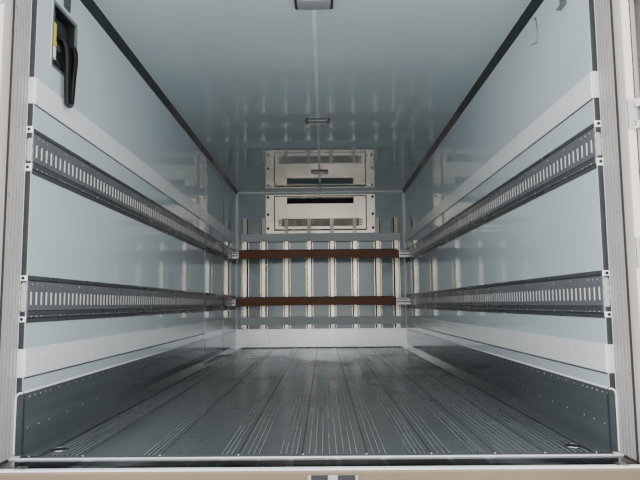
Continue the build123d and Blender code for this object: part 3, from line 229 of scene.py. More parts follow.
@dataclass(frozen=True)
class DrawnMetal(Finish):
    """Rolled or extruded metal: fine lines run the way that it was drawn."""

    along: Axis = Axis.Y
    metallic: float = 1.0
    line_mm: float = 1.5

    def stretch(self) -> Point:
        """Draws the pattern out thirty times along the metal's own direction."""
        x, y, z = (1 / 30 if axis is self.along else 1.0 for axis in Axis)
        return (x, y, z)

    def grain(self, tree: Tree, where: Socket) -> Socket:
        """Long fine lines."""
        return noise(tree, where, self.line_mm, 2.0)


@dataclass(frozen=True)
class CastSteel(Finish):
    """Zinc-plated or painted steel with a fine even tooth."""

    metallic: float = 1.0
    tooth_mm: float = 3.0

    def grain(self, tree: Tree, where: Socket) -> Socket:
        """Small rounded cells, as plating and thick paint show."""
        inputs = {"Vector": where, "Scale": per_metre(self.tooth_mm)}
        return add_node(tree, "ShaderNodeTexVoronoi", inputs).outputs["Distance"]


@dataclass(frozen=True)
class OiledWood(Finish):
    """Dark oiled hardwood: long pores and growth lines run the length of the bar."""

    streaky: bool = True
    grain_mm: float = 2.2
    ring_mm: float = 75.0
    pore: str = "#120A06"

    def stretch(self) -> Point:
        """Growth lines run along X."""
        return (1 / 24, 1.0, 1.0)

    def grain(self, tree: Tree, where: Socket) -> Socket:
        """Pores about a millimetre across, drawn twice as coarse so that they show."""
        return noise(tree, where, self.grain_mm, 4.0)

    def detail(self, tree: Tree, where: Socket, tone: Socket) -> Socket:
        """Dark wavy growth lines over the two tones."""
        drawn = drawn_out(tree, where, (0.04, 1.0, 1.0))
        inputs = {"Vector": drawn, "Scale": per_metre(self.ring_mm)}
        inputs |= {"Distortion": 6.0, "Detail": 3.0, "Detail Scale": 1.5}
        rings = add_node(tree, "ShaderNodeTexWave", inputs, bands_direction="Z").outputs["Fac"]
        return overlay(tree, ramp(tree, rings, (0.0, 0.35), (0.65, 0.0)), tone, self.pore)


@dataclass(frozen=True)
class WovenMesh(Finish):
    """Expanded metal mesh over the return: open diamonds, drawn as coarse as they need to show."""

    cell_mm: float = 9.0
    gap: str = "#15130F"

    def detail(self, tree: Tree, where: Socket, tone: Socket) -> Socket:
        """Dark openings in rows."""
        inputs = {"Vector": where, "Scale": per_metre(self.cell_mm), "Randomness": 0.15}
        cells = add_node(tree, "ShaderNodeTexVoronoi", inputs, feature="DISTANCE_TO_EDGE").outputs["Distance"]
        return overlay(tree, ramp(tree, cells, (0.10, 0.2)), tone, self.gap)


@dataclass(frozen=True)
class PaintedReflectionMetal(DrawnMetal):
    """Dark coated metal with light patches of painted reflection, each drawn out across the tread."""

    patch_mm: float = 60.0
    reflection_tone: str = "#6F777B"

    def detail(self, tree: Tree, where: Socket, tone: Socket) -> Socket:
        """Painted reflections as light patches with soft edges."""
        patches = noise(tree, drawn_out(tree, where, self.stretch()), self.patch_mm, 2.0)
        return overlay(tree, ramp(tree, patches, (0.57, 0.63)), tone, self.reflection_tone)


# Side walls and doors: polyester gelcoat on glass-fibre panels. Glossy, pale blue-green, mirrors what stands
# near.
WALL_GELCOAT = Gelcoat("gelcoat_wall_polished_mould", "#C5D3D7", "#BECCD1", 0.035, bump_mm=0.12, cloud_mm=900.0)
# Ceiling and outer roof: the same gelcoat, a little greyer.
CEILING_GELCOAT = Gelcoat(
    "gelcoat_ceiling_polished_mould", "#B1BFC1", "#AAB8BB", 0.03, bump_mm=0.08, cloud_mm=900.0
)
# Front wall skin: gelcoat, greyer with cold-room film on it.
FRONT_GELCOAT = Gelcoat("gelcoat_front_wall_filmed", "#8B9DA1", "#84969A", 0.10, bump_mm=0.2, cloud_mm=700.0)
# Outer faces of the doors: white gelcoat.
DOOR_GELCOAT = Gelcoat("gelcoat_door_white", "#D9DCDB", "#CDD1D1", 0.12, bump_mm=0.3, cloud_mm=700.0)
# Floor planks: extruded aluminium, dulled by boots and load. Dark satin with long fine lines.
FLOOR_ALU = DrawnMetal(
    "aluminium_extruded_trodden", "#5D6366", "#50565A", 0.25, metallic=0.25, bump_mm=0.008, cloud_mm=520.0
)
# Kick plates: aluminium sheet with a dark grey stoved paint; the sheet's long roll marks still show in its
# gloss.
KICK_PAINT = DrawnMetal(
    "stoved_paint_grey_on_aluminium", "#5E6467", "#454A4D", 0.13, metallic=0.0, streaky=True, cloud_mm=46.0,
    bump_mm=0.03
)
# Turned ends of the kick plates: the same paint in a darker copy, painted shade on the faces that turn to the
# rear.
KICK_EDGE_PAINTED_SHADE = Finish("stoved_paint_grey_painted_shade", "#383E41", "#2F3437", 0.4, cloud_mm=90.0)
# Front kick plate: plain rolled aluminium, light and satin.
FRONT_KICK_ALU = DrawnMetal(
    "aluminium_rolled_satin", "#CDD0D2", "#B4B7B9", 0.32, along=Axis.X, metallic=0.75, bump_mm=0.04,
    cloud_mm=380.0
)
# Bumper bands: aluminium with a white stoved paint, semi-gloss. The same white is also the painted highlight on
# the threshold's rib and nose.
WHITE_PAINT_AND_SILL_HIGHLIGHT = Finish("stoved_paint_white_and_sill_highlight", "#F2F3F3", "#E9EBEB", 0.22, cloud_mm=600.0, bump_mm=0.08)
# Lashing rails: roll-formed steel with a dark grey powder coat, satin.
RAIL_COAT = Finish("powder_coat_grey_on_steel", "#6A6D70", "#606366", 0.3, cloud_mm=260.0, bump_mm=0.06)
# Flanges and ribs of the rails: the same coat, darker and duller.
FLANGE_COAT = Finish("powder_coat_dark_grey_flanges", "#46494C", "#3D4043", 0.3, cloud_mm=200.0)
# Rib rack: extruded aluminium hat sections, anodised a pale champagne; they throw the doorway back as a
# bright line.
RACK_ALU = DrawnMetal(
    "aluminium_anodised_champagne", "#E4DCCA", "#D8CFBD", 0.3, along=Axis.Z, metallic=0.62, bump_mm=0.02
)
# Flat bars across the rack: steel with a flat grey-green primer, no gloss.
FLAT_PAINT = Finish("primer_grey_green_on_steel", "#C4CBCB", "#B7BFBF", 0.5, cloud_mm=240.0, bump_mm=0.08)
# Load bars: hardwood with dark oil.
BAR_WOOD = OiledWood("hardwood_dark_oiled", "#8A5128", "#5E3416", 0.6, bump_mm=0.25, cloud_mm=26.0)
# Shoes and tongues of the load bars: zinc-plated steel.
ZINC_STEEL = CastSteel("steel_zinc_plated", "#A9ABAA", "#8C8F90", 0.36, cloud_mm=60.0)
# Evaporator: stainless sheet brushed along X; its warm cream colour is a painted reflection of the sunlit yard.
EVAP_STEEL_PAINTED_REFLECTION = DrawnMetal(
    "stainless_steel_brushed_painted_warm_reflection", "#EDE1D0", "#DED1C1", 0.34, along=Axis.X, metallic=0.5, bump_mm=0.03
)
# Tops of the rack's ribs over the upper flat bar: the same anodising under cold-room film, dull.
RACK_DULL = DrawnMetal(
    "aluminium_anodised_filmed", "#C9C7BC", "#B9B7AC", 0.45, along=Axis.Z, metallic=0.3, bump_mm=0.02
)
# Condenser case and outside plastic: glass-filled ABS, moulded with a fine grain.
CASE_ABS = Finish("abs_moulded_fine_grain_white", "#D6D8D6", "#CACCCB", 0.38, cloud_mm=350.0, bump_mm=0.12)
# Fan guards and fans: black nylon, moulded, satin.
FAN_NYLON = Finish("nylon_glass_filled_black", "#1C1E20", "#141517", 0.42, cloud_mm=90.0, bump_mm=0.12)
# Lamp lens: polycarbonate, injection moulded, milky.
LAMP_LENS = Finish(
    "polycarbonate_opal_moulded", "#83878A", "#767A7D", 0.22, ior=1.58, cloud_mm=60.0, bump_mm=0.1
)
# Lamp frames: dark grey polycarbonate, moulded.
LAMP_FRAME = Finish(
    "polycarbonate_moulded_dark_grey", "#33373A", "#2A2E30", 0.35, ior=1.58, cloud_mm=60.0, bump_mm=0.08
)
# Cove strips: black PVC extrusion with a soft sheen.
COVE_PVC = Finish("pvc_extruded_near_black", "#2E363A", "#262D30", 0.4, ior=1.53, cloud_mm=260.0)
# Corner trims and joint strips: white PVC extrusion.
TRIM_PVC = Finish("pvc_extruded_white", "#DADDDC", "#CDD1D0", 0.3, ior=1.53, cloud_mm=260.0)
# Joint strip along the ceiling: PVC extrusion in the ceiling's own tone.
STRIP_PVC = Finish("pvc_extruded_pale_grey", "#C9D4D5", "#BFCACB", 0.3, ior=1.53, cloud_mm=260.0)
# Corner trims round the front wall: PVC extrusion, grey with cold-room film.
CORNER_PVC = Finish(
    "pvc_extruded_filmed_grey", "#A6B2B5", "#99A5A8", 0.3, ior=1.53, cloud_mm=260.0
)
# Outer strip of the posts' rear faces: a mauve-beige painted reflection in the stainless.
POST_STRIP_PAINTED_REFLECTION = Finish(
    "painted_reflection_mauve_beige", "#A2938C", "#94867F", 0.35, ior=1.53, cloud_mm=120.0
)
# Service box: folded stainless sheet, its inside dull.
BOX_STEEL = DrawnMetal("stainless_steel_folded_dull", "#A3A9AA", "#8B9293", 0.4, along=Axis.Z, metallic=0.7)
# Lining of the service box: black foam rubber, matt.
BOX_BLACK = Finish("foam_rubber_black", "#101113", "#0B0C0D", 0.7, cloud_mm=30.0, bump_mm=0.3)
# Conduit: black polyamide, corrugated on the extruder, satin.
CONDUIT_PA = Finish(
    "polyamide_corrugated_black", "#050607", "#030404", 0.45, ior=1.53, cloud_mm=30.0
)
# Rear posts, header and threshold: polished stainless sheet with faint brush marks up the post; its cream tone
# and upright streaks are also a painted warm reflection.
POST_STEEL_PAINTED_REFLECTION = DrawnMetal(
    "stainless_steel_polished_painted_warm_reflection", "#D2C7BE", "#BDB1A9", 0.14, along=Axis.Z, streaky=True,
    bump_mm=0.02, cloud_mm=18.0
)
# Threshold's face: stainless sheet brushed lengthwise; its tan colour is a painted reflection of the yard.
SILL_STEEL_PAINTED_REFLECTION = DrawnMetal(
    "stainless_steel_brushed_painted_tan_reflection", "#84735F", "#716250", 0.36, along=Axis.X, metallic=0.45,
    bump_mm=0.03, cloud_mm=220.0
)
# Tread of the threshold: black-chromed sheet, a dark mirror; its light patches are painted reflections of the
# posts.
TREAD_CHROME_PAINTED_REFLECTIONS = PaintedReflectionMetal(
    "steel_black_chromed_tread_painted_reflections", "#1A1D20", "#0B0D0F", 0.16, cloud_mm=60.0, bump_mm=0.02
)
# Lining up the inner face of the posts: stainless sheet, faint upright brush marks; its cream colour is a
# painted reflection.
POST_LINING_PAINTED_REFLECTION = DrawnMetal(
    "stainless_steel_painted_cream_reflection", "#F3EAE2", "#DDD2C9", 0.3, along=Axis.Z, metallic=0.25, streaky=True,
    bump_mm=0.02, cloud_mm=14.0
)
# Ribbed jamb: warm grey PVC extrusion.
JAMB_PVC = Finish("pvc_extruded_warm_grey", "#B9B4B3", "#A9A4A3", 0.35, ior=1.53, cloud_mm=180.0, bump_mm=0.06)
# Hinges and lock gear: stainless, cast and tumbled.
HINGE_STEEL = CastSteel("stainless_steel_cast_tumbled", "#BDBAB6", "#A9A6A3", 0.3, bump_mm=0.04, cloud_mm=50.0)
# Door seals: EPDM rubber, extruded, matt black. The same black is also painted shade in the rails' slots and
# painted shadow over the load bars and round the evaporator's cover.
BLACK_RUBBER_AND_PAINTED_SHADE = Finish(
    "epdm_rubber_black_and_painted_shade", "#1B1C1D", "#151617", 0.55, ior=1.52, cloud_mm=40.0, bump_mm=0.15
)
# Edge extrusions outside: anodised aluminium.
EDGE_ALU = DrawnMetal("aluminium_anodised_edge", "#BFC2C4", "#B0B3B6", 0.3, bump_mm=0.03, cloud_mm=400.0)
# Under-frame: steel with black chassis paint, a little dusty.
CHASSIS_PAINT = CastSteel(
    "chassis_paint_black_on_steel", "#33363A", "#26282B", 0.48, metallic=0.0, bump_mm=0.2, cloud_mm=240.0
)
# Slab under the planks: polyurethane foam in a grey glass-fibre skin.
SLAB_SKIN = Finish("glass_fibre_skin_grey", "#8C9092", "#7C8082", 0.5, cloud_mm=200.0, bump_mm=0.2)
# Floor drains: black polypropylene.
DRAIN_PP = Finish("polypropylene_moulded_black", "#191A1C", "#121314", 0.4, cloud_mm=40.0, bump_mm=0.08)
# Caulk: white silicone, tooled by finger, slightly uneven.
CAULK = Finish(
    "silicone_sealant_tooled_white", "#F0EFEA", "#DEDCD6", 0.38, ior=1.42, cloud_mm=35.0, bump_mm=0.5
)
# Rough sealant at the rail ends: the same silicone, aged and dirty.
OLD_CAULK = Finish("silicone_sealant_aged", "#BDBDB9", "#A2A19C", 0.6, ior=1.42, cloud_mm=14.0, bump_mm=1.2)
# Dark strip on the walls' rear ends: butyl-backed rubber extrusion. The same grey is also the painted shadow
# under the bumper bands.
RUBBER_STRIP_AND_PAINTED_SHADOW = Finish("rubber_strip_dark_grey_and_painted_shadow", "#303437", "#272B2D", 0.4, cloud_mm=80.0, bump_mm=0.1)
# Blind rivets: aluminium, bright heads.
RIVET_ALU = CastSteel("aluminium_rivet_bright", "#DADBDB", "#C2C4C5", 0.22, bump_mm=0.01, cloud_mm=6.0)
# Painted or grimed rivets: darker heads.
RIVET_DARK = CastSteel("steel_rivet_grimed", "#4B4D50", "#37393B", 0.35, bump_mm=0.02, cloud_mm=6.0)
# White liner behind the rails' slots: PVC strip.
LINER_PVC = Finish("pvc_liner_white", "#FBFBF8", "#F3F3F0", 0.4, ior=1.53, cloud_mm=60.0)
# Yellow connector: polyamide, moulded.
PLUG_YELLOW = Finish(
    "polyamide_moulded_yellow", "#EBCF58", "#D8B942", 0.35, ior=1.53, cloud_mm=20.0
)
# Painted shade in the jamb's grooves: the plastic's own warm grey, much darker.
JAMB_GROOVE_SHADE = Finish("painted_shade_in_grooves", "#3F3B39", "#343130", 0.8, cloud_mm=90.0, bump_mm=0.3)
# Dirt pressed into the plank joints.
JOINT_DIRT = Finish("floor_dirt_in_joints", "#101213", "#1A1C1D", 0.8, cloud_mm=120.0, bump_mm=0.3)
# Tops of the planks' ribs: aluminium worn bright by boots and wheels, and a painted highlight where the ribs
# catch the light.
RIB_WEAR_AND_HIGHLIGHT = DrawnMetal(
    "aluminium_worn_bright_and_painted_highlight", "#E8EBEC", "#9BA0A3", 0.3, metallic=0.35, streaky=True, cloud_mm=24.0,
    bump_mm=0.01
)
# Mesh of the return air grille: expanded aluminium, brown-grey in the shade.
RETURN_MESH = WovenMesh("aluminium_expanded_mesh", "#B0A593", "#9A8F7E", 0.45, metallic=0.4, cloud_mm=60.0)
# Matt black: painted shade inside the evaporator's air outlet, behind its return grille and along the rack's
# ribs; also the drains' rims.
MATT_BLACK_AND_PAINTED_SHADE = Finish("matt_black_and_painted_shade", "#0E0F10", "#090A0A", 0.8, cloud_mm=40.0, bump_mm=0.3)
# Studio floor: plain pale paper.
STUDIO_PAPER = Finish("studio_paper_pale", "#D9D8D5", "#D3D2CF", 0.7, cloud_mm=900.0, bump_mm=0.1)

CAD_STEMS: dict[Finish, tuple[str, ...]] = {
    CHASSIS_PAINT: ("long_sill", "cross_members"),
    SLAB_SKIN: ("floor_slab",),
    FLOOR_ALU: ("floor_planks",),
    DRAIN_PP: ("floor_drains",),
    WALL_GELCOAT: ("side_wall", "side_door"),
    FRONT_GELCOAT: ("front_wall",),
    CEILING_GELCOAT: ("roof_panel",),
    EDGE_ALU: ("roof_rails", "roof_rail_front", "front_corners", "bottom_rails"),
    POST_STEEL_PAINTED_REFLECTION: ("rear_post", "rear_header"),
    SILL_STEEL_PAINTED_REFLECTION: ("rear_sill",),
    JAMB_PVC: ("jamb_frame",),
    KICK_PAINT: ("kick_plate_right", "kick_plate_left", "side_door_kick"),
    FRONT_KICK_ALU: ("kick_plate_front",),
    WHITE_PAINT_AND_SILL_HIGHLIGHT: ("bumper_bands", "side_door_bands"),
    RAIL_COAT: ("lashing_rails", "side_door_rails"),
    RACK_ALU: ("rack_ribs",),
    FLAT_PAINT: ("rack_flats",),
    BAR_WOOD: ("load_bars",),
    ZINC_STEEL: ("load_bar_ends",),
    EVAP_STEEL_PAINTED_REFLECTION: ("evaporator", "return_louvres"),
    CASE_ABS: ("condenser_case",),
    FAN_NYLON: ("fan_guards", "condenser_fan"),
    LAMP_FRAME: ("ceiling_lamps",),
    COVE_PVC: ("ceiling_coves",),
    STRIP_PVC: ("ceiling_strip",),
    CORNER_PVC: ("corner_trims",),
    BOX_STEEL: ("service_box",),
    CONDUIT_PA: ("conduit_loop",),
    HINGE_STEEL: ("hinge_bases", "lock_keepers", "rear_door_straps", "rear_door_lock", "side_door_gear"),
    BLACK_RUBBER_AND_PAINTED_SHADE: ("rear_door_seal",),
    DOOR_GELCOAT: ("rear_door_left", "rear_door_right"),
}
CAD_FINISHES = {stem: finish for finish, stems in CAD_STEMS.items() for stem in stems}


def dress_cad_nodes() -> None:
    """Gives each CAD node the finish whose name starts its own, the longest match first."""
    stems = sorted(CAD_FINISHES, key=len, reverse=True)
    for name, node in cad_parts.items():
        stem = next(s for s in stems if name.startswith(s))
        for slot in node.material_slots:
            slot.material = CAD_FINISHES[stem].material()


# A rivet head's outline: shares of its radius and of its height.
DOME = ((1.0, 0.0), (0.92, 0.45), (0.6, 0.88), (0.0, 1.0))
# Edges that turn by more than the first are rounded; by more than the second they stay crisp in the shading.
BEVEL_FROM = radians(40)
SHARP_FROM = radians(38)


class Shape:
    """A mesh that is being made, in metres in the frame."""

    def __init__(self) -> None:
        """Starts with an empty mesh."""
        self.bm = bmesh.new()

    def join(self, rings: Sequence[Sequence[Sequence[float]]], capped: bool = True) -> list[bmesh.types.BMVert]:
        """Adds rings of points and the faces between them.

        Args:
            rings: The rings, in order, each with as many points.
            capped: Whether both ends get a face.

        Returns:
            The last ring's points.
        """
        made = [[self.bm.verts.new(place) for place in ring] for ring in rings]
        for low, high in zip(made, made[1:]):
            for i in range(len(low)):
                j = (i + 1) % len(low)
                self.bm.faces.new((low[i], low[j], high[j], high[i]))
        if capped:
            self.bm.faces.new(made[0][::-1])
            self.bm.faces.new(made[-1])
        return made[-1]

    def prism(self, outline: Sequence[Span], axis: Axis, start: float, end: float) -> "Shape":
        """Adds an outline that runs straight along one axis.

        Args:
            outline: Points in the plane of the other two axes, in their order.
            axis: The way that it runs.
            start: Where it starts on that axis.
            end: Where it ends.

        Returns:
            The same shape.
        """
        cut = axis.value
        self.join([[(*place[:cut], at, *place[cut:]) for place in outline] for at in (start, end)])
        return self

    def block(self, x: Span, y: Span, z: Span, side: Side = Side.RIGHT) -> "Shape":
        """Adds a block; the piece's bevel rounds its edges.

        Args:
            x: Where it starts and ends across, counted outwards from the middle.
            y: Where it starts and ends along the body.
            z: Where it starts and ends upwards.
            side: The side that X is counted to.

        Returns:
            The same shape.
        """
        (x0, x1), (y0, y1), (z0, z1) = sorted(side.value * at for at in x), sorted(y), sorted(z)
        return self.prism(((x0, y0), (x1, y0), (x1, y1), (x0, y1)), Axis.Z, z0, z1)

    def pair(self, x: Span, y: Span, z: Span) -> "Shape":
        """Adds a block on each side, mirrored; its arguments are those of block."""
        for side in Side:
            self.block(x, y, z, side)
        return self

    def wall_prism(self, side: Side, corner: Span, outline: Sequence[Span], y: Span) -> "Shape":
        """Adds a prism that runs along a wall.

        Args:
            side: The wall's side.
            corner: How far out and how high the outline's own zero lies.
            outline: Its points, outwards and up from there.
            y: Where it starts and ends.

        Returns:
            The same shape.
        """
        return self.prism([(side.value * (corner[0] + a), corner[1] + b) for a, b in outline], Axis.Y, *y)

    def turned(
        self, centre: Sequence[float], facing: Point, outline: Sequence[Span], sides: int, capped: bool = True
    ) -> "Shape":
        """Adds a turned piece.

        Args:
            centre: The middle of its foot.
            facing: The way that it faces.
            outline: From the foot on, each point a radius and a height.
            sides: The number of its sides.
            capped: Whether it ends flat; otherwise it closes to the last point's height as a dome.

        Returns:
            The same shape.
        """
        foot, out = Vector(centre), Vector(facing).normalized()
        across = out.orthogonal().normalized()
        body = outline if capped else outline[:-1]
        rings = [circle(foot + out * height, out, across, radius, sides) for radius, height in body]
        last = self.join(rings, capped)
        if not capped:
            top = self.bm.verts.new(foot + out * outline[-1][1])
            for i in range(sides):
                self.bm.faces.new((last[i], last[(i + 1) % sides], top))
        return self

    def domes(self, places: Iterable[Sequence[float]], facing: Point, head: Span, sides: int = 10) -> "Shape":
        """Adds low domes, such as the heads of rivets and bolts.

        Args:
            places: The middle of each foot.
            facing: The way that they face.
            head: Their radius and height.
            sides: The number of their sides.

        Returns:
            The same shape.
        """
        radius, height = head
        outline = [(radius * wide, height * rise) for wide, rise in DOME]
        for place in places:
            self.turned(place, facing, outline, sides, capped=False)
        return self

    def tube(self, points: Sequence[Sequence[float]], radii: Sequence[float], sides: int = 8) -> "Shape":
        """Adds a round tube through points, with a radius at each.

        Args:
            points: Its centre line.
            radii: Its radius at each point.
            sides: The number of its sides.

        Returns:
            The same shape.
        """
        line = [Vector(p) for p in points]
        ways = [(b - a).normalized() for a, b in zip([line[0], *line], [*line[1:], line[-1]])]
        across = ways[0].orthogonal().normalized()
        rings = []
        for place, way, radius in zip(line, ways, radii):
            across = (across - way * across.dot(way)).normalized()
            rings.append(circle(place, way, across, radius, sides))
        self.join(rings)
        return self

    def done(
        self, name: str, finish: Finish, slot: str, body: str = BODY, bevel: float = 0.0
    ) -> bpy.types.Object:
        """Makes the object, rounds its edges and hangs it on its body.

        Args:
            name: The piece's name.
            finish: What it is made of.
            slot: Not used.
            body: The body that it rides on.
            bevel: The radius of its rounded edges, in metres.

        Returns:
            The piece.
        """
        bmesh.ops.recalc_face_normals(self.bm, faces=self.bm.faces)
        if bevel:
            edges = [e for e in self.bm.edges if e.is_manifold and e.calc_face_angle() > BEVEL_FROM]
            bmesh.ops.bevel(
                self.bm, geom=edges, offset=bevel, segments=2, affect="EDGES", profile=0.6, clamp_overlap=True
            )
        mesh = bpy.data.meshes.new(name)
        self.bm.to_mesh(mesh)
        self.bm.free()
        mesh.polygons.foreach_set("use_smooth", [True] * len(mesh.polygons))
        mesh.set_sharp_from_angle(angle=SHARP_FROM)
        mesh.materials.append(finish.material())
        piece = bpy.data.objects.new(name, mesh)
        bpy.context.scene.collection.objects.link(piece)
        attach(piece, body)
        log.info("%s: %d faces on %s", name, len(mesh.polygons), body)
        return piece


def circle(centre: Vector, way: Vector, across: Vector, radius: float, sides: int) -> list[Vector]:
    """Places points round a centre.

    Args:
        centre: The middle.
        way: The direction that the circle faces, of length 1.
        across: The direction of its first point, of length 1.
        radius: Its radius.
        sides: The number of its points.

    Returns:
        The points.
    """
    up, turn = way.cross(across), 2 * pi / sides
    return [centre + (across * cos(turn * i) + up * sin(turn * i)) * radius for i in range(sides)]


def steps(start: float, end: float, pitch: float) -> list[float]:
    """Places from start to end, a pitch apart.

    Args:
        start: The first place.
        end: None lies beyond this.
        pitch: The distance between two.

    Returns:
        The places.
    """
    return [start + i * pitch for i in range(int((end - start) / pitch + 1e-6) + 1)]


def about(middle: float, reach: float) -> Span:
    """The span that reaches as far to each side of its middle."""
    return middle - reach, middle + reach


def spans_from(origin: Sequence[float], offsets: Sequence[Span]) -> list[Span]:
    """The spans that offsets give from an origin, one for each axis."""
    return [(at + low, at + high) for at, (low, high) in zip(origin, offsets)]


def by_body() -> dict[str, Shape]:
    """An empty shape for the body and one for the side door's leaf."""
    return {BODY: Shape(), DOOR: Shape()}


@dataclass
class Room:
    """The load space as the CAD nodes have it."""

    half: float = field(init=False)
    rear: float = field(init=False)
    front: float = field(init=False)
    floor: float = field(init=False)
    ceiling: float = field(init=False)
    door_y: Span = field(init=False)

    def __post_init__(self) -> None:
        """Reads the walls, floor and ceiling."""
        self.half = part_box("side_wall_right")[0].x
        self.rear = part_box("side_wall_right")[0].y
        self.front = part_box("front_wall")[0].y
        self.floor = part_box("floor_planks")[1].z
        self.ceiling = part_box("roof_panel")[0].z
        self.door_y = (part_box("side_door")[0].y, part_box("side_door")[1].y)

    def body_at(self, side: Side, y: float, margin: float = 0.05) -> Optional[str]:
        """Names the body that a fitting on a wall rides on.

        Args:
            side: The wall's side.
            y: The fitting's place.
            margin: How far it keeps from the side door's edge.

        Returns:
            The body's name, or None where the door's edge leaves it no room.
        """
        start, end = self.door_y
        if side is Side.RIGHT or y < start - margin or y > end + margin:
            return BODY
        return DOOR if start + margin < y < end - margin else None


@dataclass
class Viewpoint:
    """The camera, where the photograph was taken from."""

    place: Point = (0.038, -5.640, 0.912)
    pitch: float = 5.89
    yaw: float = 0.31
    roll: float = 0.49
    focal_px: float = 622.9
    frame_px: float = 640.0
    sensor_mm: float = 36.0

    def build(self) -> None:
        """Makes the camera and puts it in charge."""
        data = bpy.data.cameras.new("viewpoint")
        data.sensor_fit = "HORIZONTAL"
        data.sensor_width = self.sensor_mm
        data.lens = self.focal_px / self.frame_px * self.sensor_mm
        data.clip_start = 0.05
        data.clip_end = 200.0
        camera = bpy.data.objects.new("viewpoint", data)
        turn = Matrix.Identity(4)
        for angle, axis in ((self.yaw, "Z"), (self.pitch, "X"), (self.roll, "Y"), (90.0, "X")):
            turn = turn @ Matrix.Rotation(radians(angle), 4, axis)
        camera.matrix_world = Matrix.Translation(Vector(self.place)) @ turn
        bpy.context.scene.collection.objects.link(camera)
        bpy.context.scene.camera = camera


@dataclass
class Studio:
    """Plain pale floor and soft lights."""

    floor_half: float = 40.0
    sky: str = "#E4E8EC"
    sky_strength: float = 1.35

    def lamp(self, name: str, place: Point, target: Point, size: Span, power: float) -> None:
        """Adds one soft panel of light.

        Args:
            name: The lamp's name.
            place: Where it stands.
            target: What it faces.
            size: Its width and height.
            power: Its power in watts.
        """
        data = bpy.data.lights.new(name, "AREA")
        data.shape = "RECTANGLE"
        data.size, data.size_y = size
        data.energy = power
        lamp = bpy.data.objects.new(name, data)
        lamp.location = place
        lamp.rotation_euler = (Vector(target) - Vector(place)).to_track_quat("-Z", "Y").to_euler()
        lamp.visible_camera = False
        bpy.context.scene.collection.objects.link(lamp)

    def build(self) -> None:
        """Lays the floor and hangs the lights."""
        mesh = bpy.data.meshes.new("studio_floor")
        half = self.floor_half
        corners = [(-half, -half, 0.0), (half, -half, 0.0), (half, half, 0.0), (-half, half, 0.0)]
        mesh.from_pydata(corners, [], [(0, 1, 2, 3)])
        mesh.materials.append(STUDIO_PAPER.material())
        floor = bpy.data.objects.new("studio_floor", mesh)
        bpy.context.scene.collection.objects.link(floor)
        world = bpy.data.worlds.new("studio")
        world.use_nodes = True
        back = world.node_tree.nodes["Background"]
        back.inputs["Color"].default_value = linear(self.sky)
        back.inputs["Strength"].default_value = self.sky_strength
        bpy.context.scene.world = world
        self.lamp("doorway_daylight", (0.0, -4.3, 1.6), (0.0, 0.0, 1.6), (3.6, 3.0), 98.0)
        self.lamp("side_light_left", (-9.0, -2.0, 6.0), (0.0, 0.0, 1.2), (6.0, 5.0), 700.0)
        self.lamp("side_light_right", (9.0, 3.0, 6.0), (0.0, 0.0, 1.2), (6.0, 5.0), 600.0)


@dataclass
class ConduitLoop:
    """The corrugated conduit that loops out of the service box and back."""

    length: float = 0.776
    diameter: float = 0.028
    pitch: float = 0.0052
    ridge: float = 0.0026
    inside: float = 0.012
    gland: tuple[Span, ...] = (
        (0.019, 0.0), (0.019, 0.010), (0.017, 0.012), (0.0155, 0.012), (0.0155, 0.020), (0.0145, 0.021)
    )
    route: tuple[Point, ...] = (
        (-1.205, -2.907, 2.130), (-1.172, -2.907, 2.138), (-1.138, -2.905, 2.124), (-1.128, -2.898, 2.070),
        (-1.129, -2.889, 1.985), (-1.130, -2.881, 1.890), (-1.131, -2.871, 1.836), (-1.130, -2.831, 1.836),
        (-1.130, -2.823, 1.896), (-1.129, -2.815, 1.988), (-1.128, -2.801, 2.076), (-1.138, -2.793, 2.130),
        (-1.172, -2.791, 2.144), (-1.205, -2.791, 2.136),
    )

    def centre_line(self) -> list[Vector]:
        """Reads the smooth line of the route's spline.

        Returns:
            Its points, in order.
        """
        data = bpy.data.curves.new("conduit_route", "CURVE")
        data.dimensions = "3D"
        data.resolution_u = 24
        spline = data.splines.new("NURBS")
        spline.points.add(len(self.route) - 1)
        for knot, place in zip(spline.points, self.route):
            knot.co = (*place, 1.0)
        spline.order_u = 3
        spline.use_endpoint_u = True
        carrier = bpy.data.objects.new("conduit_route", data)
        bpy.context.scene.collection.objects.link(carrier)
        read = bpy.data.meshes.new_from_object(carrier)
        line = [v.co.copy() for v in read.vertices]
        bpy.data.objects.remove(carrier)
        bpy.data.meshes.remove(read)
        return line

    def build(self) -> None:
        """Makes the corrugated tube and its two glands."""
        line = self.centre_line()
        walked = list(accumulate(((b - a).length for a, b in zip(line, line[1:])), initial=0.0))
        total = walked[-1]
        count = int(total / self.pitch) * 4
        points, radii, index = [], [], 0
        crest = self.diameter / 2
        for i in range(count + 1):
            at = total * i / count
            while index < len(line) - 2 and walked[index + 1] < at:
                index += 1
            share = (at - walked[index]) / (walked[index + 1] - walked[index])
            points.append(line[index].lerp(line[index + 1], share))
            radii.append(crest if i % 4 in (1, 2) else crest - self.ridge)
        tube = Shape().tube(points, radii, sides=16).done("conduit_tube", CONDUIT_PA, "conduit")
        glands = Shape()
        for x, y, z in (self.route[0], self.route[-1]):
            glands.turned((x - self.inside, y, z), (1, 0, 0), self.gland, sides=6)
        nuts = glands.done("conduit_glands", CONDUIT_PA, "conduit", bevel=0.0006)
        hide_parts("conduit_loop")
        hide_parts("conduit_loop")


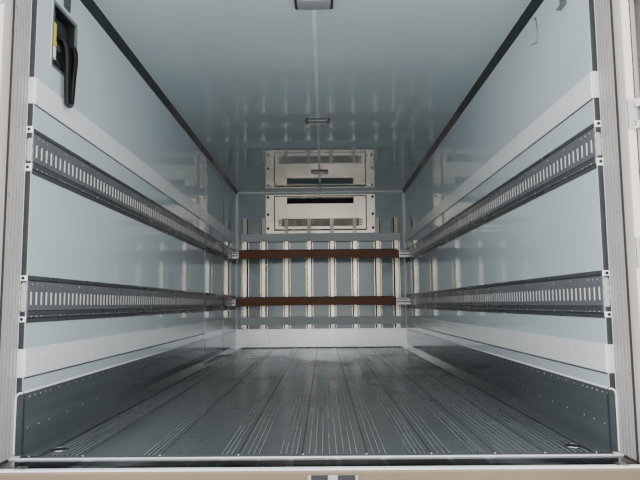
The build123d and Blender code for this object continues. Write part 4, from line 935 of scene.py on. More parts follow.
@dataclass
class KickPlates:
    """Rivets and caulk on the kick plates along the walls and the front."""

    room: Room
    face: float = 0.004
    height: float = 0.240
    upper: tuple[float, ...] = (0.0086, 0.0564, 0.1042, 0.1520, 0.1998)
    lower: Span = (0.050, 0.1485)
    row_levels: Span = (0.2215, 0.098)
    row_start: float = 0.247
    pitch: float = 0.0937
    head: Span = (0.0042, 0.0016)
    foot_bead: Box = ((0.002, 0.034), (-0.020, -0.001), (-0.0075, -0.001))
    turn_in: Box = ((-0.0046, 0.0004), (-0.0030, 0.0135), (0.001, 0.234))
    turn_out: Box = ((-0.0005, 0.0215), (-0.0048, -0.0028), (0.001, 0.234))
    bead_ends: Span = (0.012, -0.011)
    bead_rear: float = -0.0052
    door_gap: float = 0.008
    front_head: Span = (0.0048, 0.0018)
    front_pitch: float = 0.205
    front_rows: tuple[Point, ...] = ((-1.125, 1.13, 0.222), (-1.125, 1.13, 0.105), (-1.0225, 1.03, 0.222))
    front_joint: Point = (0.08, 0.0025, 0.010)
    top_bead: tuple[Span, ...] = (
        (0.0, -0.001), (-0.0046, -0.001), (-0.004, 0.0016), (-0.0026, 0.0048), (0.0, 0.0070)
    )
    end_bead: tuple[Point, ...] = (
        (-0.003, 0.242, 0.0038), (0.008, 0.242, 0.0044), (0.018, 0.236, 0.0046), (0.0235, 0.224, 0.0044),
        (0.0240, 0.100, 0.0038), (0.0235, 0.004, 0.0044),
    )

    def rows(self) -> list[Span]:
        """The rivets' places along and up the plate: close together at the rear end, then wider."""
        near, far = self.room.rear, self.room.front - 0.06
        rows = []
        for start, pitch, level in zip((self.upper, self.lower), (self.pitch, self.pitch * 2), self.row_levels):
            along = [near + y for y in start] + steps(near + self.row_start, far, pitch)
            rows += [(y, level) for y in along]
        return rows

    def build(self) -> None:
        """Makes the rivets, the caulk beads and the front plate's rivets."""
        floor, half, rear, front = self.room.floor, self.room.half, self.room.rear, self.room.front
        heads, caulk, turns, corner = by_body(), Shape(), Shape(), (half, rear, floor)
        door = (self.room.door_y[0] - self.door_gap, self.room.door_y[1] + self.door_gap)
        for side in Side:
            for y, up in self.rows():
                body = self.room.body_at(side, y, 0.045)
                if body:
                    place = (side.value * (half - self.face), y, floor + up)
                    heads[body].domes([place], side.inward(), self.head)
            start, end = rear + self.bead_ends[0], front + self.bead_ends[1]
            cut = [(start, end)] if side is Side.RIGHT else [(start, door[0]), (door[1], end)]
            for span in cut:
                caulk.wall_prism(side, (half, floor + self.height), self.top_bead, span)
            line = [(side.value * (half + x), rear + self.bead_rear, floor + up) for x, up, _ in self.end_bead]
            caulk.tube(line, [radius for _, _, radius in self.end_bead])
        caulk.pair(*spans_from(corner, self.foot_bead))
        # The turned ends take the darker copy of the kick paint: painted shade.
        turns.pair(*spans_from(corner, self.turn_in)).pair(*spans_from(corner, self.turn_out))
        turns.done("kick_end_turns", KICK_EDGE_PAINTED_SHADE, "kick")
        caulk.done("kick_caulk", CAULK, "white_trim", bevel=0.0012)
        heads[BODY].done("kick_rivets", RIVET_ALU, "hinge")
        heads[DOOR].done("side_door_kick_rivets", RIVET_ALU, "hinge", body=DOOR)
        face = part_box("kick_plate_front")[0].y
        dark = Shape()
        for start, end, up in self.front_rows:
            row = steps(start, end, self.front_pitch)
            dark.domes([(x, face, floor + up) for x in row], TO_REAR, self.front_head)
        dark.done("front_kick_rivets", RIVET_DARK, "hinge")
        short, deep, tall = self.front_joint
        joint = Shape().block(about(0.0, half - short), (face - deep, face), (floor, floor + tall))
        joint.done("front_kick_joint", BLACK_RUBBER_AND_PAINTED_SHADE, "seal", bevel=0.0008)


@dataclass
class BumperBands:
    """Rivets, end caps and the painted shadow under the lower edges of the bumper bands."""

    room: Room
    centres: Span = (0.358, 1.479)
    half_height: float = 0.058
    cap: Box = ((-0.0015, 0.0260), (-0.0045, -0.0002), (-0.056, 0.056))
    depth: float = 0.006
    near: Span = (0.010, 0.073)
    first: float = 0.148
    pitch: float = 0.191
    spread: float = 0.025
    head: Span = (0.0046, 0.0018)
    edge: tuple[Span, ...] = ((0.0, 0.0), (-0.0035, 0.0), (-0.0020, -0.0035), (0.0, -0.0045))

    def build(self) -> None:
        """Makes the rivets, the caps and the painted shadow along the lower edges."""
        half, rear, front = self.room.half, self.room.rear, self.room.front
        heads, caps, joints = by_body(), Shape(), Shape()
        places = [rear + y for y in self.near] + steps(rear + self.first, front - 0.08, self.pitch)
        for side in Side:
            end = front - 0.04 if side is Side.RIGHT else self.room.door_y[0] - 0.01
            for centre in self.centres:
                level = self.room.floor + centre
                for y in places:
                    body = self.room.body_at(side, y)
                    if body:
                        spots = [(side.value * (half - self.depth), y, z) for z in about(level, self.spread)]
                        heads[body].domes(spots, side.inward(), self.head)
                caps.block(*spans_from((half, rear, level), self.cap), side)
                # A dark wedge under each band's lower edge: painted shadow.
                joints.wall_prism(side, (half, level - self.half_height), self.edge, (rear + 0.002, end))
        heads[BODY].done("band_rivets", LINER_PVC, "white_trim")
        heads[DOOR].done("side_door_band_rivets", LINER_PVC, "white_trim", body=DOOR)
        caps.done("band_end_caps", TRIM_PVC, "white_trim", bevel=0.0016)
        joints.done("band_painted_shadow", RUBBER_STRIP_AND_PAINTED_SHADOW, "seal")


@dataclass
class LashingRails:
    """White liners behind the slots, painted shade in them, darker flanges, ribs, rivets, and the rails' rear
    ends.
    """

    room: Room
    centres: Span = (0.613, 1.222)
    depth: float = 0.006
    flange: Span = (0.0775, 0.0955)
    rib: Span = (-0.066, -0.050)
    slot_up: float = 0.003
    bar_y: float = 2.4067
    slot_first: float = 0.025
    slot_pitch: float = 0.0471
    slot_margin: float = 0.019
    slot_shade: Point = (-0.0098, -0.0016, 0.0285)
    slot_liner: Point = (-0.0015, 0.0096, 0.0265)
    lines: Point = (0.0750, -0.0750, -0.0475)
    near: tuple[float, ...] = (0.041, 0.086, 0.131, 0.322)
    first: float = 0.531
    pitch: float = 0.2
    head: Span = (0.0040, 0.0016)
    head_levels: Span = (-0.0705, 0.060)
    bolt: tuple[Span, ...] = ((0.0072, 0.0), (0.0072, 0.0035), (0.0060, 0.0048))
    bracket_levels: tuple[Span, ...] = ((0.686, 0.708), (0.521, 0.543), (1.298, 1.325), (1.137, 1.168))
    plate_levels: tuple[Span, ...] = ((0.562, 0.680), (1.178, 1.276))
    plate_outline: tuple[Span, ...] = (
        (-0.0030, 0.02), (0.0160, 0.00), (0.0225, 0.07), (0.0205, 0.20), (0.0235, 0.33), (0.0210, 0.50),
        (0.0240, 0.66), (0.0195, 0.80), (0.0215, 0.93), (0.0120, 1.00), (-0.0015, 0.98), (-0.0035, 0.84),
        (-0.0010, 0.62), (-0.0040, 0.45), (-0.0015, 0.25),
    )

    def spans(self, side: Side) -> list[tuple[str, float, float]]:
        """The bodies and the lengths of one wall's rails, parted at the side door."""
        rear, front, door = self.room.rear, self.room.front - 0.045, self.room.door_y
        if side is Side.RIGHT:
            return [(BODY, rear, front)]
        leaf = (DOOR, door[0] + 0.034, door[1] - 0.034)
        return [(BODY, rear, door[0] - 0.002), leaf, (BODY, door[1] + 0.002, front)]

    def build(self) -> None:
        """Makes the pieces on the rails and at their ends."""
        half, rear = self.room.half, self.room.rear
        liners, seam_lines_and_slot_shade, flanges, rivets = by_body(), by_body(), by_body(), by_body()
        face = half - self.depth
        outer, thin = (half - 0.0015, half - 0.0028), (face + 0.0010, face - 0.0006)
        lower = (-self.flange[1], -self.flange[0])
        strips = ((outer, self.flange), (outer, lower), ((face + 0.001, face - 0.0022), self.rib))
        # Each slot gets a dark block, painted shade in the slot, and a white liner.
        slots = ((seam_lines_and_slot_shade, half - 0.0046, self.slot_shade), (liners, half - 0.0054, self.slot_liner))
        places = [rear + y for y in self.near] + steps(rear + self.first, self.room.front - 0.08, self.pitch)
        for side in Side:
            for centre in self.centres:
                level = self.room.floor + centre
                for body, start, end in self.spans(side):
                    for y in steps(rear + self.slot_first, end - self.slot_margin, self.slot_pitch):
                        if y < start + self.slot_margin or abs(y - self.bar_y) <= 0.03:
                            continue
                        for shapes, depth, (before, after, tall) in slots:
                            z = about(level + self.slot_up, tall)
                            shapes[body].block((depth, half + 0.0020), (y + before, y + after), z, side)
                    for line in self.lines:
                        seam_lines_and_slot_shade[body].block(thin, (start, end), about(level + line, 0.0016), side)
                    for deep, (low, high) in strips:
                        flanges[body].block(deep, (start, end), (level + low, level + high), side)
                for y in places:
                    body = self.room.body_at(side, y)
                    if body:
                        spots = [(side.value * face, y, level + up) for up in self.head_levels]
                        rivets[body].domes(spots, side.inward(), self.head)
        for body, stem in ((BODY, "rail"), (DOOR, "side_door_rail")):
            liners[body].done(stem + "_slot_liners", LINER_PVC, "white_trim", body)
            seam_lines_and_slot_shade[body].done(stem + "_seam_lines_and_slot_shade", BLACK_RUBBER_AND_PAINTED_SHADE, "seal", body)
            flanges[body].done(stem + "_flanges", FLANGE_COAT, "rail", body, bevel=0.0005)
            rivets[body].done(stem + "_rivets", RIVET_ALU, "hinge", body)
        self.build_ends()

    def build_ends(self) -> None:
        """Makes the brackets, the sealant plates and the bolts on the walls' rear ends."""
        floor, half, rear = self.room.floor, self.room.half, self.room.rear
        plates, brackets, bolts, wide = Shape(), Shape(), Shape(), (half - 0.0030, half + 0.0255)
        for side in Side:
            for low, high in self.plate_levels:
                outline = [(x, share * (high - low)) for x, share in self.plate_outline]
                plates.wall_prism(side, (half, floor + low), outline, (rear - 0.0045, rear - 0.0003))
            for low, high in self.bracket_levels:
                brackets.block(wide, (rear - 0.0060, rear - 0.0002), (floor + low, floor + high), side)
                place = (side.value * (half + 0.0125), rear - 0.0060, floor + (low + high) / 2)
                bolts.turned(place, TO_REAR, self.bolt, sides=6)
        plates.done("rail_end_sealant", OLD_CAULK, "white_trim", bevel=0.0016)
        brackets.done("rail_end_brackets", LINER_PVC, "white_trim", bevel=0.0014)
        bolts.done("rail_end_bolts", RIVET_DARK, "hinge", bevel=0.0005)


@dataclass
class WallEnds:
    """The dark strips on the walls' rear ends and the lines of caulk beside them."""

    room: Room
    inner_step: float = 0.0265
    gap: float = 0.0005
    strip_y: Span = (-0.0026, -0.0001)
    inner_bead: Flat = ((-0.0004, 0.0008), (-0.0032, 0.0002))
    inner_ends: Span = (0.25, -0.05)
    outer_bead: Flat = ((-0.0022, 0.0), (-0.0042, -0.0003))
    outer_ends: Span = (0.004, 0.02)

    def build(self) -> None:
        """Makes the strips and the caulk."""
        half, rear, floor, ceiling = self.room.half, self.room.rear, self.room.floor, self.room.ceiling
        edge, top = half + self.inner_step, ceiling + self.inner_step
        strips, caulk, (deep,) = Shape(), Shape(), spans_from((rear,), (self.strip_y,))
        strips.pair((half + self.gap, edge), deep, (floor + self.gap, top))
        strips.block((-edge, edge), deep, (ceiling + self.gap, top))
        low, high = self.inner_ends
        caulk.pair(*spans_from((half, rear), self.inner_bead), (floor + low, ceiling + high))
        low, high = self.outer_ends
        caulk.pair(*spans_from((edge, rear), self.outer_bead), (floor + low, ceiling + high))
        strips.done("wall_end_strips", RUBBER_STRIP_AND_PAINTED_SHADOW, "dark_trim", bevel=0.0006)
        caulk.done("wall_end_caulk", CAULK, "white_trim", bevel=0.0008)


@dataclass
class Jamb:
    """The painted shade in the jamb's grooves, its screws, the black joint beside it and the lining of the
    posts, a painted reflection.
    """

    inner: float = 1.191
    back: float = -3.264
    frame_rear: float = -3.334
    pitch: float = 0.027
    ribs: int = 5
    head: float = 2.501
    sill: float = 0.3285
    inner_joint: Flat = ((-0.0050, 0.0034), (-0.0026, 0.0))
    outer_joint: Flat = ((0.0352, 0.0370), (-0.0008, 0.0))
    edge_reflection: Flat = ((0.0370, 0.0535), (-0.0016, 0.0))
    lining_x: Span = (0.0030, 0.0044)
    lining_y: Span = (0.0008, -0.0030)
    lining_low: float = -0.004
    screw: Span = (0.0030, 0.0014)
    screw_levels: tuple[float, ...] = (0.612, 0.905, 1.228, 1.377, 1.664, 1.902, 2.143, 2.318)

    def build(self) -> None:
        """Makes the pieces on both jambs and posts."""
        wide, back, rear, tall = self.inner, self.back, self.frame_rear, (self.sill, self.head)
        groove_shade, screws, joint, lining, reflection_strip = Shape(), Shape(), Shape(), Shape(), Shape()
        # A dark strip on one side of each groove: painted shade.
        for i in range(self.ribs):
            low, high = back + (i + 0.7) * self.pitch, back + (i + 1) * self.pitch
            groove_shade.pair((wide - 0.0008, wide + 0.0006), (low + 0.0004, high - 0.0004), tall)
        for side in Side:
            for i, level in enumerate(self.screw_levels):
                y = back + (0.35 + (i * 2) % 3) * self.pitch
                place = (side.value * (wide - 0.004), y, level + 0.031 * side.value)
                screws.domes([place], side.inward(), self.screw)
        joint.pair(*spans_from((wide, back), self.inner_joint), tall)
        joint.pair(*spans_from((wide, rear), self.outer_joint), tall)
        # The outer strip on the posts' rear faces is a painted reflection.
        reflection_strip.pair(*spans_from((wide, rear), self.edge_reflection), tall)
        # The posts' cream lining is a painted reflection.
        deep = (rear + self.lining_y[0], back + self.lining_y[1])
        lining.pair(*spans_from((wide,), (self.lining_x,)), deep, (self.sill + self.lining_low, self.head))
        groove_shade.done("jamb_groove_painted_shade", JAMB_GROOVE_SHADE, "jamb")
        screws.done("jamb_screws", RIVET_DARK, "hinge")
        joint.done("post_joint", BLACK_RUBBER_AND_PAINTED_SHADE, "seal")
        lining.done("post_lining", POST_LINING_PAINTED_REFLECTION, "polished", bevel=0.0004)
        reflection_strip.done("post_edge_painted_reflection", POST_STRIP_PAINTED_REFLECTION, "jamb", bevel=0.0006)


@dataclass
class Planks:
    """What shows on the floor: ribs' worn tops with a painted highlight, grime in the joints, weld spots at the
    rear edge and drains.
    """

    room: Room
    rib_top: float = 0.0009
    rib_drop: float = 0.003
    joint: float = 0.0020
    spot: Span = (0.0055, 0.0035)
    spots: tuple[float, ...] = (-1.127, -0.915, -0.611, -0.303, -0.049, 0.200, 0.454, 0.703, 0.898, 1.099)
    drains: Span = (1.050, 0.105)
    rim: tuple[Span, ...] = ((0.0330, 0.0), (0.0330, 0.0036), (0.0290, 0.0040), (0.0270, 0.0034))
    ring: Span = (0.0350, 0.0015)
    turns: int = 32
    ribs: tuple[tuple[float, tuple[int, ...]], ...] = (
        (-0.792, (-135, -117, -98, -79, -60, -41, -22)),
        (-0.526, (-61, -43, -24)),
        (-0.263, (-62, -43, -24, 16, 40, 62, 84)),
        (-0.046, (-84, -62, -41, -21, 28, 54, 81, 108, 136, 164, 192, 216)),
        (0.174, (24, 50, 72)),
        (0.390, (-84, -62, -43, -26, 26, 50, 71)),
        (0.607, (-88, -64, -48, 26, 50, 74, 98, 122, 146, 166)),
        (0.775, (27, 50, 73, 96, 119, 142, 165)),
    )

    def build(self) -> None:
        """Makes the lines, the spots and the drains' rims."""
        floor, half, rear = self.room.floor, self.room.half, self.room.rear
        long, flat = (rear + 0.001, self.room.front - 0.012), floor - self.rib_drop
        tops, joints, spots, rims, ring = Shape(), Shape(), Shape(), Shape(), Shape()
        for share, offsets in self.ribs:
            middle = share * half
            joints.block(about(middle, self.joint), long, (flat - 0.002, flat + 0.0003))
            # Bright strips on the ribs' tops: wear, and a painted highlight.
            for offset in offsets:
                tops.block(about(middle + offset / 1000, self.rib_top), long, (floor - 0.001, floor + 0.0003))
        spots.domes([(x, rear + 0.005, flat) for x in self.spots], UP, self.spot)
        wide, wire = self.ring
        circuit = [2 * pi * i / self.turns for i in range(self.turns + 1)]
        for side in Side:
            x, y = side.value * self.drains[0], rear + self.drains[1]
            rims.turned((x, y, flat + 0.0002), UP, self.rim, self.turns)
            line = [(x + wide * cos(a), y + wide * sin(a), floor + 0.0004) for a in circuit]
            ring.tube(line, [wire] * len(line), sides=6)
        ring.done("drain_rings", RIVET_ALU, "hinge")
        tops.done("plank_rib_tops_worn_and_highlight", RIB_WEAR_AND_HIGHLIGHT, "plank")
        joints.done("plank_joint_dirt", JOINT_DIRT, "plank")
        spots.done("plank_weld_spots", RIVET_ALU, "hinge")
        rims.done("drain_rims", MATT_BLACK_AND_PAINTED_SHADE, "drain")


@dataclass
class Ceiling:
    """The third lamp, the lamps' lenses, the coves' edges, the trims' beads and rivets."""

    room: Room
    lamp_y: Point = (0.565, 2.650, 4.735)
    lamp_half: Span = (0.100, 0.063)
    lens_inset: float = 0.012
    head: Span = (0.0042, 0.0015)
    trim_pitch: Span = (0.1557, 0.143)

    def build(self) -> None:
        """Makes the lenses, bright cove edges and rivets."""
        half, rear, front, ceiling = self.room.half, self.room.rear, self.room.front, self.room.ceiling
        floor, lens = self.room.floor, Shape()
        far = about(rear + self.lamp_y[-1], self.lamp_half[1])
        base = Shape().block(about(0.0, self.lamp_half[0]), far, (ceiling - 0.014, ceiling))
        base.done("ceiling_lamp_third", LAMP_FRAME, "lamp", bevel=0.002)
        wide, deep = (reach - self.lens_inset for reach in self.lamp_half)
        left = ((-wide, 0.013), (0.006 - wide, 0.019), (-wide * 0.5, 0.022))
        outline = [(x, ceiling - drop) for x, drop in left] + [(-x, ceiling - drop) for x, drop in left[::-1]]
        for along in self.lamp_y:
            lens.prism(outline, Axis.Y, *about(rear + along, deep))
        lens.done("ceiling_lamp_lenses", LAMP_LENS, "lamp", bevel=0.002)
        low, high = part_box("ceiling_coves")
        edges = Shape().pair((half - 0.003, half), (low.y + 0.001, high.y), (low.z - 0.0025, low.z))
        edges.pair((half - 0.0365, half - 0.034), (low.y + 0.001, high.y), (ceiling - 0.0022, ceiling))
        edges.done("cove_edges", TRIM_PVC, "white_trim", bevel=0.0006)
        deep_by, foot = (front - 0.0042, front - 0.0008), floor + 0.255
        beads = Shape().block(about(0.0, half - 0.004), deep_by, (ceiling - 0.0180, ceiling - 0.0040))
        beads.pair((half - 0.0175, half - 0.004), deep_by, (foot, ceiling - 0.004))
        beads.pair((half - 0.0044, half), (front - 0.0400, front - 0.0365), (foot, ceiling - 0.052))
        beads.done("corner_trim_beads", WHITE_PAINT_AND_SILL_HIGHLIGHT, "white_trim")
        rivets = Shape()
        across = steps(-1.09, 1.1, self.trim_pitch[0])
        rivets.domes([(x, front - 0.020, ceiling - 0.003) for x in across], DOWN, self.head)
        for side in Side:
            x = side.value * (half - 0.003)
            upright = steps(floor + 0.30, ceiling - 0.06, self.trim_pitch[1])
            rivets.domes([(x, front - 0.020, z) for z in upright], side.inward(), self.head)
        rivets.done("trim_rivets", RIVET_DARK, "hinge")


@dataclass
class Rack:
    """Rivets and painted shade of the rack's ribs, their dull tops and the bolts of its flat bars."""

    room: Room
    ribs: tuple[float, ...] = (0.156, 0.467, 0.779, 1.033)
    crown: float = 0.024
    foot: float = 0.050
    rivet_x: float = 0.037
    rib_front: Span = (-0.0628, -0.0612)
    shade_inner: Flat = ((-0.0004, 0.0155), (-0.0042, -0.0028))
    shade_outer: Flat = ((0.0, 0.0040), (-0.0028, 0.0))
    brim: Flat = ((0.0160, -0.0004), (-0.0040, -0.0026))
    top: Span = (1.873, 2.087)
    joint: Span = (0.258, 1.757)
    rows: tuple[float, ...] = (0.29, 0.43, 0.58, 0.73, 0.88, 1.03, 1.18, 1.33, 1.48)
    head: Span = (0.0042, 0.0015)
    bolt: Span = (0.0062, 0.0022)
    bolt_levels: Span = (0.310, 1.436)
    bolt_spread: float = 0.028

    def build(self) -> None:
        """Makes the pieces of each rib."""
        floor, front = self.room.floor, self.room.front
        feet, bolts, lines, tops = Shape(), Shape(), Shape(), Shape()
        tall = (floor + self.joint[0], floor + self.joint[1])
        levels = [z for up in self.bolt_levels for z in about(floor + up, self.bolt_spread)]
        for x in (side.value * rib for side in Side for rib in self.ribs):
            for edge in (-1, 1):
                row = [(x + edge * self.rivet_x, front - 0.003, floor + up) for up in self.rows]
                feet.domes(row, TO_REAR, self.head)
                inner, outer = x + edge * self.crown, x + edge * self.foot
                # Dark strips along the webs beside each crown and along the feet's outer edges: painted shade.
                for shape, (low, high), (across, deep), z in (
                    (lines, (inner, inner), self.shade_inner, tall),
                    (lines, (outer, outer), self.shade_outer, tall),
                    (tops, (inner, outer), self.brim, self.top),
                ):
                    x_span = (low + edge * across[0], high + edge * across[1])
                    shape.block(x_span, *spans_from((front,), (deep,)), z)
            tops.block(about(x, self.crown + 0.0004), *spans_from((front,), (self.rib_front,)), self.top)
            bolts.domes([(x, front - 0.070, z) for z in levels], TO_REAR, self.bolt, sides=12)
        feet.done("rack_foot_rivets", RIVET_DARK, "hinge")
        bolts.done("rack_flat_bolts", RIVET_DARK, "hinge")
        lines.done("rack_web_painted_shade", MATT_BLACK_AND_PAINTED_SHADE, "seal")
        tops.done("rack_rib_tops", RACK_DULL, "rack")


@dataclass
class LoadBars:
    """The painted shadow over each load bar and the slots in its shoes."""

    room: Room
    back: float = 2.3957
    bars: tuple[tuple[Span, Span], ...] = (((-1.060, 1.014), (1.498, 1.620)), ((-1.098, 0.968), (0.889, 1.011)))
    slot_low: Span = (-0.020, 0.014)
    slot_high: float = 0.012

    def build(self) -> None:
        """Makes the painted shadow strips and the slots."""
        dark, wall, back = Shape(), self.room.half - 0.004, self.back
        for (left, right), (low, high) in self.bars:
            # A dark strip over each bar's top: painted shadow.
            dark.block((left + 0.02, right - 0.02), (back - 0.0045, back + 0.02), (high - 0.010, high + 0.0006))
            for x in ((-wall, left - 0.012), (right + 0.012, wall)):
                for z in ((low + high) / 2 + up for up in self.slot_low):
                    dark.block(x, (back - 0.0006, back + 0.004), (z, z + self.slot_high))
        dark.done("load_bar_painted_shadow_and_slots", BLACK_RUBBER_AND_PAINTED_SHADE, "seal")


@dataclass
class SideDoorLines:
    """The seal that shows as two lines in the left wall, one each side of the side door."""

    room: Room
    proud: float = 0.0012

    def build(self) -> None:
        """Makes the pale rear line and the dark front line."""
        half, tall = self.room.half, (self.room.floor + 0.004, self.room.ceiling - 0.088)
        (start, end), deep = self.room.door_y, (half - self.proud, half)
        pale = Shape().block(deep, (start - 0.020, start - 0.010), tall, Side.LEFT)
        pale.done("side_door_line_rear", TRIM_PVC, "white_trim", bevel=0.0004)
        dark = Shape().block(deep, (end + 0.008, end + 0.030), tall, Side.LEFT)
        dark.done("side_door_line_front", RUBBER_STRIP_AND_PAINTED_SHADOW, "seal", bevel=0.0004)


@dataclass
class Evaporator:
    """The evaporator's bosses, the painted shadow round its cover, the painted shade in its outlet and return,
    its outlet vane and return grille.
    """

    half: float = 0.623
    tall: Span = (1.939, 2.390)
    edge_shadow: float = 0.015
    edge_shadow_deep: Span = (0.006, 0.0375)
    back_deep: Span = (0.032, 0.0355)
    vane_deep: Span = (0.004, 0.029)
    vane_drop: Span = (0.0135, 0.0110)
    vane_parts: tuple[Span, ...] = ((-0.458, -0.014), (0.012, 0.458))
    mesh_deep: Span = (0.004, 0.007)
    louvre_deep: Span = (0.0004, 0.0080)
    louvre_height: float = 0.0125
    face: float = 2.839
    outlet: Span = (2.291, 2.382)
    outlet_half: float = 0.460
    inlet: Span = (1.977, 2.085)
    inlet_half: float = 0.575
    grille_half: float = 0.532
    louvres: int = 5
    louvre_pitch: float = 0.0235
    boss_x: float = 0.722
    boss_levels: Point = (1.955, 2.149, 2.388)
    boss: tuple[Span, ...] = ((0.0195, 0.0), (0.0195, 0.006), (0.014, 0.010), (0.006, 0.0105))
    rivet: Span = (0.004, 0.0015)
    rivet_pitch: float = 0.0683
    screw: Span = (0.0065, 0.0022)
    screws: tuple[Span, ...] = (
        (-0.478, 2.268), (-0.478, 2.144), (0.49, 2.25), (0.49, 2.13), (-0.6, 2.36), (0.6, 2.36)
    )

    def deep(self, span: Span) -> Span:
        """A span in depth, counted from the cover's face."""
        return self.face + span[0], self.face + span[1]

    def build(self) -> None:
        """Makes the pieces on and in the cover."""
        (foot, head), edge, y = self.tall, self.half + self.edge_shadow, self.deep(self.edge_shadow_deep)
        # A dark frame round the cover's edge: painted shadow.
        edge_shadow = Shape().block((-edge, edge), y, (foot - self.edge_shadow, foot))
        edge_shadow.block((-edge, edge), y, (head, head + self.edge_shadow)).pair((self.half, edge), y, self.tall)
        edge_shadow.done("evaporator_edge_painted_shadow", BLACK_RUBBER_AND_PAINTED_SHADE, "seal", bevel=0.002)
        half, high, back = self.outlet_half, self.outlet[1], self.deep(self.back_deep)
        # A black sheet at the back of the outlet: painted shade.
        outlet_shade = Shape().block((-half, half), back, self.outlet)
        outlet_shade.done("evaporator_outlet_painted_shade", MATT_BLACK_AND_PAINTED_SHADE, "dark_trim")
        vane = Shape()
        for x in self.vane_parts:
            vane.block(x, self.deep(self.vane_deep), (high - self.vane_drop[0], high - self.vane_drop[1]))
        vane.done("evaporator_outlet_vane", EVAP_STEEL_PAINTED_REFLECTION, "evap_steel", bevel=0.0006)
        mesh = Shape().block(about(0.0, self.grille_half), self.deep(self.mesh_deep), self.inlet)
        mesh.done("evaporator_return_mesh", RETURN_MESH, "evap_steel")
        plates, grille, y = Shape(), self.grille_half, self.deep(self.louvre_deep)
        for i in range(self.louvres):
            at = self.inlet[0] + 0.001 + i * self.louvre_pitch
            plates.pair((grille + 0.002, self.inlet_half), y, (at, at + self.louvre_height))
        plates.pair((grille + 0.001, grille + 0.005), y, self.inlet)
        plate = plates.done("return_louvre_plates", EVAP_STEEL_PAINTED_REFLECTION, "evap_steel", bevel=0.0008)
        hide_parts("return_louvres")
        # A black sheet behind the return grille: painted shade.
        return_shade = Shape().block(about(0.0, self.inlet_half), back, self.inlet)
        return_shade.done("evaporator_return_painted_shade", MATT_BLACK_AND_PAINTED_SHADE, "dark_trim")
        bosses, rivets, flange = Shape(), Shape(), self.face + 0.036
        for side in Side:
            for z in self.boss_levels:
                bosses.turned((side.value * self.boss_x, flange, z), TO_REAR, self.boss, sides=20)
            x = side.value * (self.boss_x + 0.018)
            upright = steps(foot + 0.05, head - 0.03, self.rivet_pitch)
            rivets.domes([(x, flange, z) for z in upright], TO_REAR, self.rivet)
        rivets.domes([(x, self.face, z) for x, z in self.screws], TO_REAR, self.screw)
        bosses.done("evaporator_bosses", FAN_NYLON, "seal")
        rivets.done("evaporator_rivets", RIVET_DARK, "hinge")


